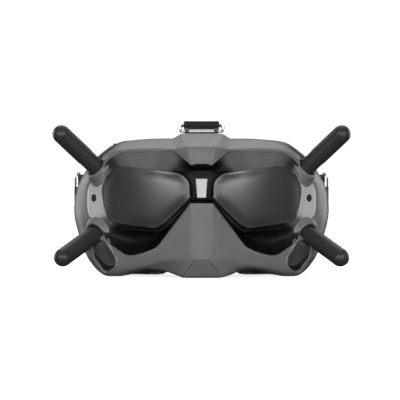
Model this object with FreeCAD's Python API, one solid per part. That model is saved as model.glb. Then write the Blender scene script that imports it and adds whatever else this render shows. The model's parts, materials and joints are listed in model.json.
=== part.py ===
import FreeCAD, Part
import os
from math import cos, pi, radians, sin

# First-person-view goggles with a head strap, standing on the chin and the two lower corners.
# Millimetres. X runs across, -Y is the front, +Y is the wearer's side, Z is up, Z = 0 is the table.
# "left" is -X and "right" is +X, as seen from the front.

# ---- driving dimensions ---------------------------------------------------------------
WALL = 2.2                # housing wall
COVER_WALL = 2.0          # front cover thickness, along Y
SEAM_GAP = 0.15           # half of the gap where the front and rear housings meet
FIT = 0.3                 # air between soft or separate parts
EYE_X = 32.0              # lens centre from the middle at rest
EYE_Z = 56.0              # lens centre height
LENS_R = 17.5
BARREL_R = 19.5           # lens barrel, outside
BARREL_FRONT = -18.0
BARREL_BACK = 9.0
IPD_IN = 2.5              # how far each lens slides inward
IPD_OUT = 3.5             # and outward
ROD_R = 1.5               # guide rods
ROD_Z = 22.5              # guide rods above and below the lens centre
ROD_Y = -8.0
STRAP_W = 25.0            # webbing width
STRAP_T = 1.6             # webbing thickness
BAR_R = 1.2               # strap rings are bent from 2.4 mm wire
RING_LONG = 30.4          # strap ring, between the centres of its short ends
RING_SHORT = 14.0         # strap ring, between its two long bars
RING_CORNER = 3.0
PIVOT_GAP = 0.05          # running clearance of a pin or bar in its hole
BORE_R = 6.9              # antenna bore in the housing
COLLAR_R = 9.4            # raised collar round that bore
NECK_R = 6.0
ANTENNA_R = 6.3
KNUCKLE = 6.5             # hinge pin from the collar's mouth
KNUCKLE_GAP = 4.9         # foot of the folding part from the hinge pin
ANTENNA_TIP = 36.0        # centre of the rounded tip from the collar's mouth
PIN_R = 1.1
BUTTON_TRAVEL = 0.6
CHIN_GAP = 0.12           # seam round the chin cap
ORIGIN_Y = 60.7           # where the part's own origin lies along Y: the middle of its whole length
INTAKE_SIZE = (19.5, 15.6) # air intake opening
GRILLE_T = 2.2             # grille plate and the slots between its slats
GRILLE_PITCH = 2.0
GRILLE_SLOT = 0.9
GRILLE_DEPTH = 5.0         # foot of the grille below the mouth of its intake

# ---- antenna mounts: mouth centre and outward direction on the right hand side ----------
MOUNTS = {
    "upper": ((73.8, -21.0, 76.6), (0.639, -0.454, 0.621)),
    "lower": ((74.3, -20.0, 29.8), (0.585, -0.683, -0.438)),
}
SIDES = {"left": -1, "right": 1}

# ---- housing cage: half loops from the top middle, round the right side, to the bottom middle
RIM = [  # opening for the front cover, brow to nose
    (0, -60.5, 78.3), (7.2, -60.5, 78.3), (17.8, -49.5, 86.7), (36, -43.5, 87.2),
    (50, -38, 87), (57.5, -34.5, 85.6), (65.5, -29.5, 80.5), (70, -26, 73.5),
    (77, -18.5, 66.5), (80, -15.5, 59.5), (80.2, -15.5, 50), (78, -18, 41.5),
    (71.5, -24, 37), (66, -27.5, 25), (57, -32.5, 19), (49, -36.5, 15.6),
    (34, -44, 20), (26.5, -48.5, 27), (9.9, -60, 48.7), (7.9, -61.5, 51.2),
    (0, -61.5, 51.2),
]
CREASE = [  # crease of the hump, edge of the nose's front face
    (0, -57.5, 89.2), (9.5, -57, 89.2), (18.8, -48, 88.6), (36, -42, 89.2),
    (50.5, -36.5, 88.8), (58.8, -32.8, 87.2), (67.2, -27.5, 81.8), (72, -24, 74),
    (79, -16.5, 67.3), (81.8, -13.5, 59.8), (82, -13.5, 49.8), (79.8, -16, 40.8),
    (73, -22, 35.5), (67, -26.5, 23), (57.3, -32, 16.8), (48.5, -36, 13.3),
    (33, -44.5, 17.5), (25, -49.5, 25), (8.2, -61.3, 47), (6.9, -62, 48.6),
    (0, -62, 48.6),
]
SHOULDER = [  # slope up to the top, crease above the chin
    (0, -42, 95), (12, -41, 94.6), (20, -35, 92.6), (37, -30, 93.4),
    (52.5, -27, 92), (61, -24, 89), (70.5, -19.5, 82.5), (76, -16, 74.5),
    (82.5, -10.5, 66.8), (85, -8, 59), (85.6, -8, 48.5), (84, -10.5, 39),
    (78.5, -15, 29), (72, -21, 15), (61, -28.5, 9.5), (50, -33, 8),
    (35, -40.5, 10), (22, -49, 12.6), (7.5, -57, 12.6), (4.6, -57.5, 12.6),
    (0, -57.5, 12.6),
]
SIDE = [  # front edge of the flat top and of the sides, lower edge of the chin
    (0, -22, 100), (14.3, -22, 99.8), (20.6, -20, 96.4), (37, -18, 96.2),
    (53, -16, 94), (62, -14, 90), (71.5, -11, 82.5), (80, -6, 74.5),
    (85.5, -3, 66), (88, -1, 57.5), (88.8, -1, 47), (87.3, -3, 37.5),
    (83.5, -8, 26.5), (78, -14, 11), (67.5, -18, 1.2), (55, -20, 0.9),
    (40, -28, 5), (26, -35, 4.2), (12.7, -46, 0), (6, -46.5, 0),
    (0, -46.5, 0),
]
SEAM = [  # front housing's back edge
    (0, 8, 100), (14.3, 8, 99.8), (20.8, 8, 97), (38, 8, 96.7),
    (55, 8, 94.4), (63.5, 8, 89.5), (73.5, 8, 81), (82, 8, 73.5),
    (87, 8, 65), (89.4, 8, 56.5), (90.4, 8, 46.5), (89.2, 8, 37),
    (86.3, 8, 26.5), (80, 8, 11), (67, 8, 0), (54, 8, 0),
    (40, 8, 4), (26, 8, 4.6), (12.7, 8, 4), (6, 8, 4),
    (0, 8, 4),
]
BACK = [  # widest part of the rear housing
    (0, 18, 99), (14.3, 18, 98.8), (21, 18, 97.6), (38, 18, 97.2),
    (56.5, 18, 95.6), (66, 18, 91.6), (76.3, 18, 83.2), (83, 18, 74),
    (86.4, 18, 65), (88.2, 18, 56.5), (88.8, 18, 46.5), (87.8, 18, 37),
    (85, 18, 26.5), (79, 18, 10.5), (66.5, 18, 0), (54, 18, 0),
    (40, 18, 0), (27, 17, 0.8), (17, 14, 8.5), (8, 12, 18.5),
    (0, 11.5, 21),
]
FACE = [  # rear edge, curved to the face, with the nose cut-out
    (0, 28, 96.5), (14.3, 28.5, 96.5), (21, 29.5, 96.2), (38, 32, 94.8),
    (55, 37, 91.4), (64, 40.5, 87), (72.5, 44, 79.5), (78, 46.5, 71.5),
    (81, 48, 64), (82.4, 48.5, 56), (82.8, 48.5, 47), (82, 48, 38),
    (79.5, 46, 28), (73, 42, 13), (63, 37, 4), (52, 33, 1.2),
    (40, 30, 1.6), (28, 25, 7), (18, 18.5, 17), (9, 14.5, 24),
    (0, 13.5, 26.5),
]

# ---- front cover cage: edge of the eye panel's seat, and the valley round it --------------
SEAT = [
    (0, -53, 74), (7.5, -53, 73.5), (15.5, -52.5, 72.5), (28.5, -49.5, 74.5),
    (46, -42.5, 76.2), (57, -36.5, 76.7), (62.5, -32.5, 74), (66, -29, 70),
    (69, -26, 65), (70, -24.5, 60), (69.3, -24.5, 53), (67.5, -26, 46),
    (65, -28, 40), (60, -31, 37), (53, -35, 35), (45, -39, 34),
    (35, -44, 33.5), (26, -48, 36), (9.5, -54, 52.5), (7.5, -54.5, 54),
    (0, -54.5, 54),
]
SEAT_MIDDLE = (38, -38, 56)
VALLEY = {  # deep points of the dark valley under each eye panel, by position in the loop
    12: (68, -24, 38), 13: (62, -26, 31), 14: (55, -28, 28), 15: (46, -31, 26),
    16: (36, -36, 27), 17: (28, -41, 32), 18: (10, -52.5, 50.8),
}
PANEL = [  # outline of the right eye panel's face, clockwise from its upper inner corner
    (16.1, -55, 71.5), (28.5, -52.5, 73.6), (45, -45.5, 75.6), (56.6, -38.5, 76.2),
    (61.6, -34.8, 74), (65.2, -31.2, 70), (68.2, -28, 65), (69.3, -26.6, 60),
    (68.7, -26.5, 53.2), (67, -28, 46.4), (64.6, -30.5, 40.4), (60, -33.6, 38),
    (49.3, -39.5, 36.3), (36.7, -45.5, 34.7), (31.9, -47.5, 34.4), (27.1, -49.5, 36.6),
    (21.6, -52, 41.3), (9.3, -56.5, 53.4), (8, -57, 56), (8.2, -57, 60.5),
    (9.2, -56.8, 66.2), (12.6, -56, 69.8),
]
PANEL_BULGE = 1.6         # crown of each eye panel
PANEL_T = 1.6


# ---- helpers ----------------------------------------------------------------------------
def vec(point):
    return FreeCAD.Vector(*point)


def full_loop(half):
    """A half loop and its mirror image, without doubling the two middle points."""
    right = [vec(p) for p in half]
    left = [FreeCAD.Vector(-p.x, p.y, p.z) for p in reversed(right[1:-1])]
    return right + left


def band(a, b):
    """Triangles between two closed loops with the same number of points."""
    out = []
    for i in range(len(a)):
        k = (i + 1) % len(a)
        out += [(a[i], a[k], b[k]), (a[i], b[k], b[i])]
    return out


def fan(loop, middle):
    """Triangles from a closed loop to one point inside it."""
    return [(loop[i], loop[(i + 1) % len(loop)], middle) for i in range(len(loop))]


def solid_of(triangles):
    """Closed solid from triangles that all turn the same way."""
    faces = []
    for a, b, c in triangles:
        if (b - a).cross(c - a).Length > 1e-7:
            faces.append(Part.Face(Part.makePolygon([a, b, c, a])))
    shell = Part.makeShell(faces)
    shell.sewShape()
    solid = Part.makeSolid(shell)
    if solid.Volume < 0:
        solid.reverse()
    return solid


def offset_loops(loops, depth):
    """Loops moved inward by depth along the surface normals."""
    count = len(loops[0])
    out = []
    for i, loop in enumerate(loops):
        before = loops[max(i - 1, 0)]
        after = loops[min(i + 1, len(loops) - 1)]
        moved = []
        for k, p in enumerate(loop):
            along = after[k] - before[k]
            across = loop[(k + 1) % count] - loop[k - 1]
            normal = along.cross(across).normalize()
            moved.append(p + normal * depth)
        out.append(moved)
    return out


def skin(loops, wall, flat_end):
    """Hollow wall between a row of loops and the same loops moved inward. One end is cut flat."""
    inner = offset_loops(loops, wall)
    for p, q in zip(inner[flat_end], loops[flat_end]):
        p.y = q.y
    row = list(loops) + list(reversed(inner))
    triangles = []
    for i in range(len(row)):
        triangles += band(row[i], row[(i + 1) % len(row)])
    return solid_of(triangles)


def plate(loops, caps, shift):
    """Plate with the given front surface, thickened by a shift of that surface."""
    front = list(caps)
    for a, b in zip(loops, loops[1:]):
        front += band(a, b)
    back = [(a + shift, c + shift, b + shift) for a, b, c in front]
    edge = band([p + shift for p in loops[0]], loops[0])
    return solid_of(front + back + edge)


def box(x0, x1, y0, y1, z0, z1):
    return Part.makeBox(x1 - x0, y1 - y0, z1 - z0, FreeCAD.Vector(x0, y0, z0))


def rod(start, end, radius):
    start, end = vec(start), vec(end)
    return Part.makeCylinder(radius, (end - start).Length, start, end - start)


def placed(shape, origin, z_axis, x_axis):
    """Shape modelled at the origin, moved so that its Z and X follow the given axes."""
    z = vec(z_axis).normalize()
    x = vec(x_axis)
    x = (x - z * x.dot(z)).normalize()
    turn = FreeCAD.Rotation(x, z.cross(x), z, "ZXY")
    out = shape.copy()
    out.Placement = FreeCAD.Placement(vec(origin), turn)
    return out


def to_side(shape, side):
    """The shape itself on the right, its mirror image on the left."""
    if side > 0:
        return shape
    return shape.mirror(FreeCAD.Vector(0, 0, 0), FreeCAD.Vector(1, 0, 0))


def rounded_plate(length, width, height, radius):
    """Plate with rounded corners, centred on the origin in X and Y, standing on Z = 0."""
    a, b = length / 2 - radius, width / 2 - radius
    core = box(-length / 2, length / 2, -b, b, 0, height)
    core = core.fuse(box(-a, a, -width / 2, width / 2, 0, height))
    for x in (-a, a):
        for y in (-b, b):
            core = core.fuse(Part.makeCylinder(radius, height, FreeCAD.Vector(x, y, 0)))
    return core.removeSplitter()


def largest(shape):
    return max(shape.Solids, key=lambda s: s.Volume)


# ---- antennas ---------------------------------------------------------------------------
def mount_frame(level, side):
    """Mouth centre, outward direction and hinge pin direction of one antenna."""
    (x, y, z), (dx, dy, dz) = MOUNTS[level]
    direction = FreeCAD.Vector(side * dx, dy, dz).normalize()
    pin = direction.cross(FreeCAD.Vector(0, 1, 0)).normalize()
    return FreeCAD.Vector(side * x, y, z), direction, pin


def at_mount(shape, level, side):
    mouth, direction, pin = mount_frame(level, side)
    return placed(shape, mouth, direction, pin)


def each_mount():
    return [(level, name, side) for level in MOUNTS for name, side in SIDES.items()]


def antenna_collar():
    return Part.makeCylinder(COLLAR_R, 9.0, FreeCAD.Vector(0, 0, -9.0))


def antenna_bore():
    return Part.makeCylinder(BORE_R, 34.0, FreeCAD.Vector(0, 0, -14.0))


def antenna_bush():
    """Threaded bush pressed in the bore's inner end, with the seat that the neck turns in."""
    bush = Part.makeCylinder(BORE_R, 6.0, FreeCAD.Vector(0, 0, -9.0))
    seat = Part.makeCylinder(3.0 + PIVOT_GAP, 6.0, FreeCAD.Vector(0, 0, -9.0))
    return bush.cut(seat)


def antenna_neck():
    """Knuckle that turns in the bush and carries the hinge fork, hooded on its front side."""
    stem = Part.makeCylinder(3.0, 6.0, FreeCAD.Vector(0, 0, -8.6))
    body = Part.makeCylinder(NECK_R, KNUCKLE + 2.7, FreeCAD.Vector(0, 0, -2.7))
    tip = Part.makeCylinder(4.4, 2 * NECK_R, FreeCAD.Vector(-NECK_R, 0, KNUCKLE), FreeCAD.Vector(1, 0, 0))
    hood = box(-NECK_R, NECK_R, 0, NECK_R, KNUCKLE, KNUCKLE + KNUCKLE_GAP - 0.25)
    envelope = Part.makeCylinder(NECK_R, KNUCKLE + 12, FreeCAD.Vector(0, 0, -2.7))
    fork = stem.fuse(body).fuse(tip.fuse(hood).common(envelope))
    slot = box(-2.3, 2.3, -8, 4.6, KNUCKLE - 4.9, KNUCKLE + 8)
    hole = rod((-8, 0, KNUCKLE), (8, 0, KNUCKLE), PIN_R)
    heel = box(-8, 8, -8, -4.5, 0.4, KNUCKLE + 8)
    return fork.cut(slot).cut(hole).cut(heel)


def antenna_pin():
    return rod((-5.4, 0, KNUCKLE), (5.4, 0, KNUCKLE), PIN_R)


def antenna_barrel():
    """Capsule with the hinge tongue at its inner end and a small dimple near the tip."""
    start = KNUCKLE + KNUCKLE_GAP
    body = Part.makeCylinder(ANTENNA_R, ANTENNA_TIP - start, FreeCAD.Vector(0, 0, start))
    body = body.fuse(Part.makeSphere(ANTENNA_R, FreeCAD.Vector(0, 0, ANTENNA_TIP)))
    tongue = rod((-2.0, 0, KNUCKLE), (2.0, 0, KNUCKLE), 4.2)
    tongue = tongue.fuse(box(-2.0, 2.0, -4.2, 4.2, KNUCKLE, start + 1))
    hole = rod((-4, 0, KNUCKLE), (4, 0, KNUCKLE), PIN_R + PIVOT_GAP)
    dimple = rod((0, ANTENNA_R - 0.8, ANTENNA_TIP), (0, ANTENNA_R + 2, ANTENNA_TIP), 1.3)
    return body.fuse(tongue).cut(hole).cut(dimple)


# ---- housings ---------------------------------------------------------------------------
def ear_axis(side):
    """Centre of a cover screw on the ear's surface, and the direction out of the ear."""
    return FreeCAD.Vector(side * 75.8, -19.4, 54.9), FreeCAD.Vector(side * 0.66, -0.75, 0)


def intake_frame(side):
    """Centre of an air intake, the direction out of it and its long direction."""
    centre = FreeCAD.Vector(side * 67.9, -23.9, 14.2)
    out = FreeCAD.Vector(side * 0.42, -0.74, -0.52)
    long_way = FreeCAD.Vector(side * -0.62, 0.0, -0.785)
    return centre, out, long_way


def slider_slot(side):
    """Slot under a lens for the eye-spacing slider's arm."""
    reach = 3.0
    x0, x1 = EYE_X - IPD_IN - reach, EYE_X + IPD_OUT + reach
    return to_side(box(x0, x1, ROD_Y - 2.4, ROD_Y + 2.4, -2, 14), side)


def side_normal():
    return FreeCAD.Vector(0.96, -0.27, 0.06).normalize()


CHANNEL_UP = (86.9, 3.4, 63.6)
CHANNEL_DOWN = (88.3, 3.4, 58.2)
CHANNEL_DISPLAY = (89.2, 3.4, 51.4)
DISPLAY_SIZE = (9.0, 5.4)


def front_shell():
    loops = [full_loop(half) for half in (RIM, CREASE, SHOULDER, SIDE, SEAM)]
    loops[-1] = [p - FreeCAD.Vector(0, SEAM_GAP, 0) for p in loops[-1]]
    shell = skin(loops, WALL, -1)
    for level, _, side in each_mount():
        shell = shell.fuse(at_mount(antenna_collar(), level, side))
    for level, _, side in each_mount():
        shell = shell.cut(at_mount(antenna_bore(), level, side))
    for side in SIDES.values():
        centre, out, long_way = intake_frame(side)
        pocket = rounded_plate(*INTAKE_SIZE, 24.0, 5.8)
        shell = shell.cut(placed(pocket, centre - out * 6.0, out, long_way))
        shell = shell.cut(slider_slot(side))
    for centre, radius in ((CHANNEL_UP, 2.2), (CHANNEL_DOWN, 2.2)):
        hole = Part.makeCylinder(radius + 0.2, 10, vec(centre) - side_normal() * 5, side_normal())
        shell = shell.cut(hole)
    window = rounded_plate(*DISPLAY_SIZE, 10, 0.8)
    shell = shell.cut(placed(window, vec(CHANNEL_DISPLAY) - side_normal() * 5, side_normal(), (0, 0, 1)))
    return largest(shell)


RECORD_BUTTON = (-39.0, 16.5)
BACK_BUTTON = (-50.0, 16.5)
LINK_BUTTON = (50.0, 16.5)
STICK = (-61.0, 16.5)
STICK_HOLE_R = 4.2
PORT_WINDOW = (20.0, 8.0)
PORT_CENTRE = (86.6, 27.5, 33.0)
PORT_OUT = (0.975, 0.2, -0.1)
PORT_DEPTH = 15.0
VENT_SLOTS = 6


def vent_slots():
    """Air outlet slots in the top of the rear housing, three each side of the hump."""
    cutter = None
    for n in range(VENT_SLOTS):
        side = 1 if n % 2 else -1
        y = 12.0 + 4.0 * (n // 2)
        slot = to_side(box(23.5, 32.5, y, y + 1.8, 90, 102), side)
        cutter = slot if cutter is None else cutter.fuse(slot)
    return cutter


def rear_shell():
    loops = [full_loop(half) for half in (SEAM, BACK, FACE)]
    loops[0] = [p + FreeCAD.Vector(0, SEAM_GAP, 0) for p in loops[0]]
    shell = skin(loops, WALL, 0)
    for x, y in (RECORD_BUTTON, BACK_BUTTON):
        shell = shell.cut(Part.makeCylinder(4.2, 30, FreeCAD.Vector(x, y, 82)))
    shell = shell.cut(Part.makeCylinder(2.7, 30, FreeCAD.Vector(*LINK_BUTTON, 82)))
    shell = shell.cut(Part.makeCylinder(STICK_HOLE_R, 30, FreeCAD.Vector(*STICK, 82)))
    window = rounded_plate(*PORT_WINDOW, 12, 1.5)
    shell = shell.cut(placed(window, vec(PORT_CENTRE) - vec(PORT_OUT) * 7, PORT_OUT, (0, 1, 0)))
    return largest(shell.cut(vent_slots()))


def cover_loops():
    """Rim, valley and seat of the front cover, kept clear of the housing's rim."""
    middle = FreeCAD.Vector(0, 0, 56)
    rim = []
    for p in full_loop(RIM):
        inward = FreeCAD.Vector(middle.x - p.x, 0, middle.z - p.z).normalize()
        if abs(p.x) > 8:
            inward = FreeCAD.Vector((38 if p.x > 0 else -38) - p.x, 0, middle.z - p.z).normalize()
        rim.append(p + inward * 0.35)
    seat_half = [vec(p) for p in SEAT]
    valley_half = []
    for n, (r, s) in enumerate(zip(rim, seat_half)):
        deep = vec(VALLEY[n]) if n in VALLEY else (r + s) * 0.5
        valley_half.append(tuple(deep))
    return [rim, full_loop(valley_half), full_loop(SEAT)]


def front_cover(shell):
    loops = cover_loops()
    seat = loops[-1]
    last = len(SEAT) - 1
    caps = []
    for side in (1, -1):
        ring = [seat[(side * n) % len(seat)] for n in range(1, last)]
        middle = vec((side * SEAT_MIDDLE[0], *SEAT_MIDDLE[1:]))
        for a, b in zip(ring, ring[1:]):
            caps.append((a, b, middle) if side > 0 else (b, a, middle))
        end = (ring[-1], ring[0], middle)
        caps.append(end if side > 0 else (ring[0], ring[-1], middle))
    top, bottom = seat[0], seat[last]
    for a, b, c in ((seat[1], top, seat[-1]), (seat[1], seat[-1], seat[last + 1]),
                    (seat[1], seat[last + 1], seat[last - 1]),
                    (seat[last - 1], seat[last + 1], bottom)):
        caps.append((c, b, a))
    cover = plate(loops, caps, FreeCAD.Vector(0, COVER_WALL, 0))
    for side in SIDES.values():
        centre, out = ear_axis(side)
        boss = Part.makeCylinder(4.2, 5.0, centre - out * 5.4, out)
        cover = cover.fuse(boss)
        cover = cover.cut(Part.makeCylinder(2.65, 9.0, centre - out * 2.4, out))
        cover = cover.cut(Part.makeCylinder(1.05, 12.0, centre - out * 7, out))
    for level, _, side in each_mount():
        keep_out = Part.makeCylinder(COLLAR_R + 0.2, 30.0, FreeCAD.Vector(0, 0, -14.0))
        cover = cover.cut(at_mount(keep_out, level, side))
    return largest(cover.cut(shell))


def cover_screws():
    """The two socket head screws that hold the front cover."""
    screws = []
    for side in SIDES.values():
        centre, out = ear_axis(side)
        head = Part.makeCylinder(1.9, 1.8, centre - out * 2.4, out)
        shank = Part.makeCylinder(1.0, 5.6, centre - out * 8.0, out)
        hexagon = [(0.95 * cos(n * pi / 3), 0.95 * sin(n * pi / 3), 0) for n in range(7)]
        socket = Part.Face(Part.makePolygon([vec(p) for p in hexagon]))
        socket = socket.extrude(FreeCAD.Vector(0, 0, 3))
        socket = placed(socket, centre - out * 1.6, out, (0, 0, 1))
        screws.append(head.fuse(shank).cut(socket))
    return Part.makeCompound(screws)


def eye_panel(side):
    """Crowned dark panel that fills one eye of the mask."""
    rim = [vec(p) for p in PANEL]
    middle = FreeCAD.Vector(38, -47.0, 56)
    inner = [p + (middle - p) * 0.45 - FreeCAD.Vector(0, PANEL_BULGE, 0) for p in rim]
    crown = sum(inner, FreeCAD.Vector(0, 0, 0)) * (1 / len(inner))
    panel = plate([rim, inner], fan(inner, crown), FreeCAD.Vector(0, PANEL_T, 0))
    return to_side(panel, side)


def bridge_trim():
    """Bright wedge between the eye panels."""
    front = [(-4.0, -54.6, 68), (4.0, -54.6, 68), (3.0, -57.2, 55), (-3.0, -57.2, 55)]
    front = [vec(p) for p in front]
    middle = sum(front, FreeCAD.Vector(0, 0, 0)) * 0.25
    return plate([front], fan(front, middle), FreeCAD.Vector(0, 1.1, 0))


def chin_split():
    """Block that holds the chin: what it cuts off the front housing becomes the chin cap."""
    side_view = [(-70, 12.6), (-50, 12.6), (-36, 6), (-36, -4), (-70, -4)]
    face = Part.Face(Part.makePolygon([FreeCAD.Vector(-30, y, z) for y, z in side_view + side_view[:1]]))
    block = face.extrude(FreeCAD.Vector(60, 0, 0))
    for side in (1, -1):
        edge = [(4.6 + 0.2, -75, 12.6), (13.2 + 6, -75, -8), (40, -75, -8), (40, -75, 13)]
        edge = [vec((side * x, y, z)) for x, y, z in edge + edge[:1]]
        block = block.cut(Part.Face(Part.makePolygon(edge)).extrude(FreeCAD.Vector(0, 50, 0)))
    return block


def split_chin(shell):
    """Front housing without its chin, and the chin cap with a thin gap all round."""
    block = chin_split()
    cap = largest(shell.common(block))
    rest = largest(shell.cut(block))
    shifted = cap.translated(FreeCAD.Vector(0, -CHIN_GAP, 0))
    shifted = shifted.cut(rest).cut(rest.translated(FreeCAD.Vector(0, 0, -CHIN_GAP)))
    return rest, largest(shifted), cap


def intake_grille(side):
    """Slatted grille plate set back in one air intake."""
    length, width = INTAKE_SIZE
    body = rounded_plate(length - 0.6, width - 0.6, GRILLE_T, 5.5)
    for n in range(-3, 4):
        middle = GRILLE_PITCH * n
        half = length / 2 - 2.2 - 0.5 * abs(n)
        low, high = middle - GRILLE_SLOT / 2, middle + GRILLE_SLOT / 2
        body = body.cut(box(-half, half, low, high, -1, GRILLE_T + 1))
    centre, out, long_way = intake_frame(side)
    return placed(body, centre - out * GRILLE_DEPTH, out, long_way)


# ---- face side --------------------------------------------------------------------------
def scaled_loop(loop, kx, kz, dy):
    return [FreeCAD.Vector(p.x * kx, p.y + dy, EYE_Z + (p.z - EYE_Z) * kz) for p in loop]


def outward(loop, distance):
    """Loop moved away from the eyes' centre line, in the plane of X and Z."""
    out = []
    for p in loop:
        away = FreeCAD.Vector(p.x * 0.7, 0, p.z - EYE_Z).normalize()
        out.append(p + away * distance)
    return out


def face_frame():
    """Frame that closes the back: flange for the foam, tunnel and lens plate."""
    loops = [full_loop(half) for half in (SEAM, BACK, FACE)]
    edge = offset_loops(loops, WALL + 0.3)[-1]
    inner = scaled_loop(loops[-1], 0.79, 0.65, -4.0)
    bottom = [FreeCAD.Vector(p.x, 6.0, p.z) for p in scaled_loop(loops[-1], 0.74, 0.62, 0)]
    forward = FreeCAD.Vector(0, -2.0, 0)
    edge_back = [p + forward for p in edge]
    inner_back = [p + forward for p in outward(inner, 2.0)]
    bottom_back = [p + forward for p in outward(bottom, 2.0)]
    middle = FreeCAD.Vector(0, 6.0, EYE_Z)
    row = [edge_back, edge, inner, bottom]
    triangles = fan(bottom, middle)
    for a, b in zip(row, row[1:]):
        triangles += band(a, b)
    row = [bottom_back, inner_back, edge_back]
    triangles += [(b, a, c) for a, b, c in fan(bottom_back, middle + forward)]
    for a, b in zip(row, row[1:]):
        triangles += band(a, b)
    frame = solid_of(triangles)
    for side in SIDES.values():
        hole = None
        for x in (EYE_X - IPD_IN, EYE_X, EYE_X + IPD_OUT):
            disc = rod((x, -5, EYE_Z), (x, 20, EYE_Z), BARREL_R + 0.6)
            hole = disc if hole is None else hole.fuse(disc)
        frame = frame.cut(to_side(hole, side))
        for z in (EYE_Z + ROD_Z, EYE_Z - ROD_Z):
            post = box(47, 51, ROD_Y - 3.2, 7, z - 3.2, z + 3.2)
            frame = frame.fuse(to_side(post, side))
    for z in (EYE_Z + ROD_Z, EYE_Z - ROD_Z):
        frame = frame.cut(rod((-70, ROD_Y, z), (70, ROD_Y, z), ROD_R))
    return largest(frame)


def foam_pad():
    """Foam ring against the face."""
    face = full_loop(FACE)
    row = [
        scaled_loop(face, 0.985, 0.985, 0.4),
        scaled_loop(face, 0.97, 0.965, 12.0),
        scaled_loop(face, 0.84, 0.74, 12.0),
        scaled_loop(face, 0.80, 0.67, 0.4 - 3.4),
    ]
    for loop in row:
        for p in loop:
            p.z = max(p.z, 0.4)
    triangles = []
    for n in range(4):
        triangles += band(row[n], row[(n + 1) % 4])
    return solid_of(triangles)


# ---- optics -----------------------------------------------------------------------------
def lens_barrel(side):
    """Tube that holds the eyepiece, with ears that run on the guide rods."""
    barrel = rod((EYE_X, BARREL_FRONT, EYE_Z), (EYE_X, BARREL_BACK, EYE_Z), BARREL_R)
    for z in (EYE_Z + ROD_Z, EYE_Z - ROD_Z):
        barrel = barrel.fuse(rod((EYE_X - 4, ROD_Y, z), (EYE_X + 4, ROD_Y, z), 3.6))
        middle = (z + EYE_Z) / 2
        barrel = barrel.fuse(box(EYE_X - 4, EYE_X + 4, ROD_Y - 2, ROD_Y + 2,
                                 min(z, middle), max(z, middle)))
    barrel = barrel.cut(rod((EYE_X, BARREL_FRONT - 1, EYE_Z), (EYE_X, BARREL_BACK + 1, EYE_Z), LENS_R - 1))
    barrel = barrel.cut(rod((EYE_X, BARREL_BACK - 7, EYE_Z), (EYE_X, BARREL_BACK + 1, EYE_Z), LENS_R + 0.05))
    for z in (EYE_Z + ROD_Z, EYE_Z - ROD_Z):
        barrel = barrel.cut(rod((0, ROD_Y, z), (80, ROD_Y, z), ROD_R + PIVOT_GAP))
    return to_side(barrel, side)


def eye_lens(side):
    """Lens with a flat front and a domed back, held in the barrel's seat."""
    dome_r = 40.0
    sagitta = dome_r - (dome_r ** 2 - LENS_R ** 2) ** 0.5
    disc = rod((EYE_X, BARREL_BACK - 6.8, EYE_Z), (EYE_X, BARREL_BACK - 0.6, EYE_Z), LENS_R)
    ball = Part.makeSphere(dome_r, FreeCAD.Vector(EYE_X, BARREL_BACK - 2.0 + sagitta - dome_r, EYE_Z))
    return to_side(disc.common(ball), side)


def display_panel(side):
    """Small display on its backing plate, on the front end of the lens barrel."""
    y1 = BARREL_FRONT
    panel = box(EYE_X - 18, EYE_X + 18, y1 - 1.6, y1, EYE_Z - 18, EYE_Z + 18)
    return to_side(panel, side)


def ipd_slider(side):
    """Eye-spacing slider: an arm from the barrel's lower ear and a ribbed thumb pad."""
    foot = EYE_Z - ROD_Z - 3.7
    arm = box(EYE_X - 2.6, EYE_X + 2.6, ROD_Y - 1.8, ROD_Y + 1.8, 2.4, foot)
    pad = placed(rounded_plate(11.0, 7.0, 1.5, 1.8), (EYE_X, ROD_Y, 1.4), (0, 0, 1), (1, 0, 0))
    slider = arm.fuse(pad)
    for n in range(4):
        x = EYE_X - 3.3 + 2.2 * n
        slider = slider.cut(box(x - 0.35, x + 0.35, ROD_Y - 2.6, ROD_Y + 2.6, 1.0, 1.8))
    return to_side(slider, side)


def guide_rods():
    rods = [rod((-51, ROD_Y, EYE_Z + s * ROD_Z), (51, ROD_Y, EYE_Z + s * ROD_Z), ROD_R) for s in (1, -1)]
    return Part.makeCompound(rods)


# ---- electronics ------------------------------------------------------------------------
def main_board():
    board = box(-48, 48, -25.6, -24, 37, 76)
    for x in (-44, 44):
        for z in (41, 72):
            board = board.cut(rod((x, -27, z), (x, -22, z), 1.5))
    return board


def heat_sink():
    """Finned block on the main board."""
    sink = box(-27, 27, -28.2, -25.7, 43, 70)
    for n in range(10):
        x = -26.4 + 5.7 * n
        sink = sink.fuse(box(x, x + 1.5, -35, -28.2, 44, 69))
    return sink.removeSplitter()


FAN_X, FAN_Y = 0.0, -6.0
FAN_Z = 87.0
FAN_H = 7.0
FAN_R = 13.0


def fan_housing():
    """Square fan frame with a round duct and a hub plate under the rotor."""
    frame = placed(rounded_plate(30, 30, FAN_H, 3), (FAN_X, FAN_Y, FAN_Z), (0, 0, 1), (1, 0, 0))
    duct = Part.makeCylinder(FAN_R + 0.8, FAN_H, FreeCAD.Vector(FAN_X, FAN_Y, FAN_Z + 1.2))
    frame = frame.cut(duct)
    ring = Part.makeCylinder(FAN_R, 3, FreeCAD.Vector(FAN_X, FAN_Y, FAN_Z - 1))
    ring = ring.cut(Part.makeCylinder(5, 3, FreeCAD.Vector(FAN_X, FAN_Y, FAN_Z - 1)))
    for angle in (45, 135):
        spoke = box(-FAN_R, FAN_R, -1.2, 1.2, -1, 3)
        across = (cos(radians(angle)), sin(radians(angle)), 0)
        ring = ring.cut(placed(spoke, (FAN_X, FAN_Y, FAN_Z), (0, 0, 1), across))
    shaft_hole = Part.makeCylinder(1.0 + PIVOT_GAP, 4, FreeCAD.Vector(FAN_X, FAN_Y, FAN_Z - 1))
    return frame.cut(ring).cut(shaft_hole)


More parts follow.
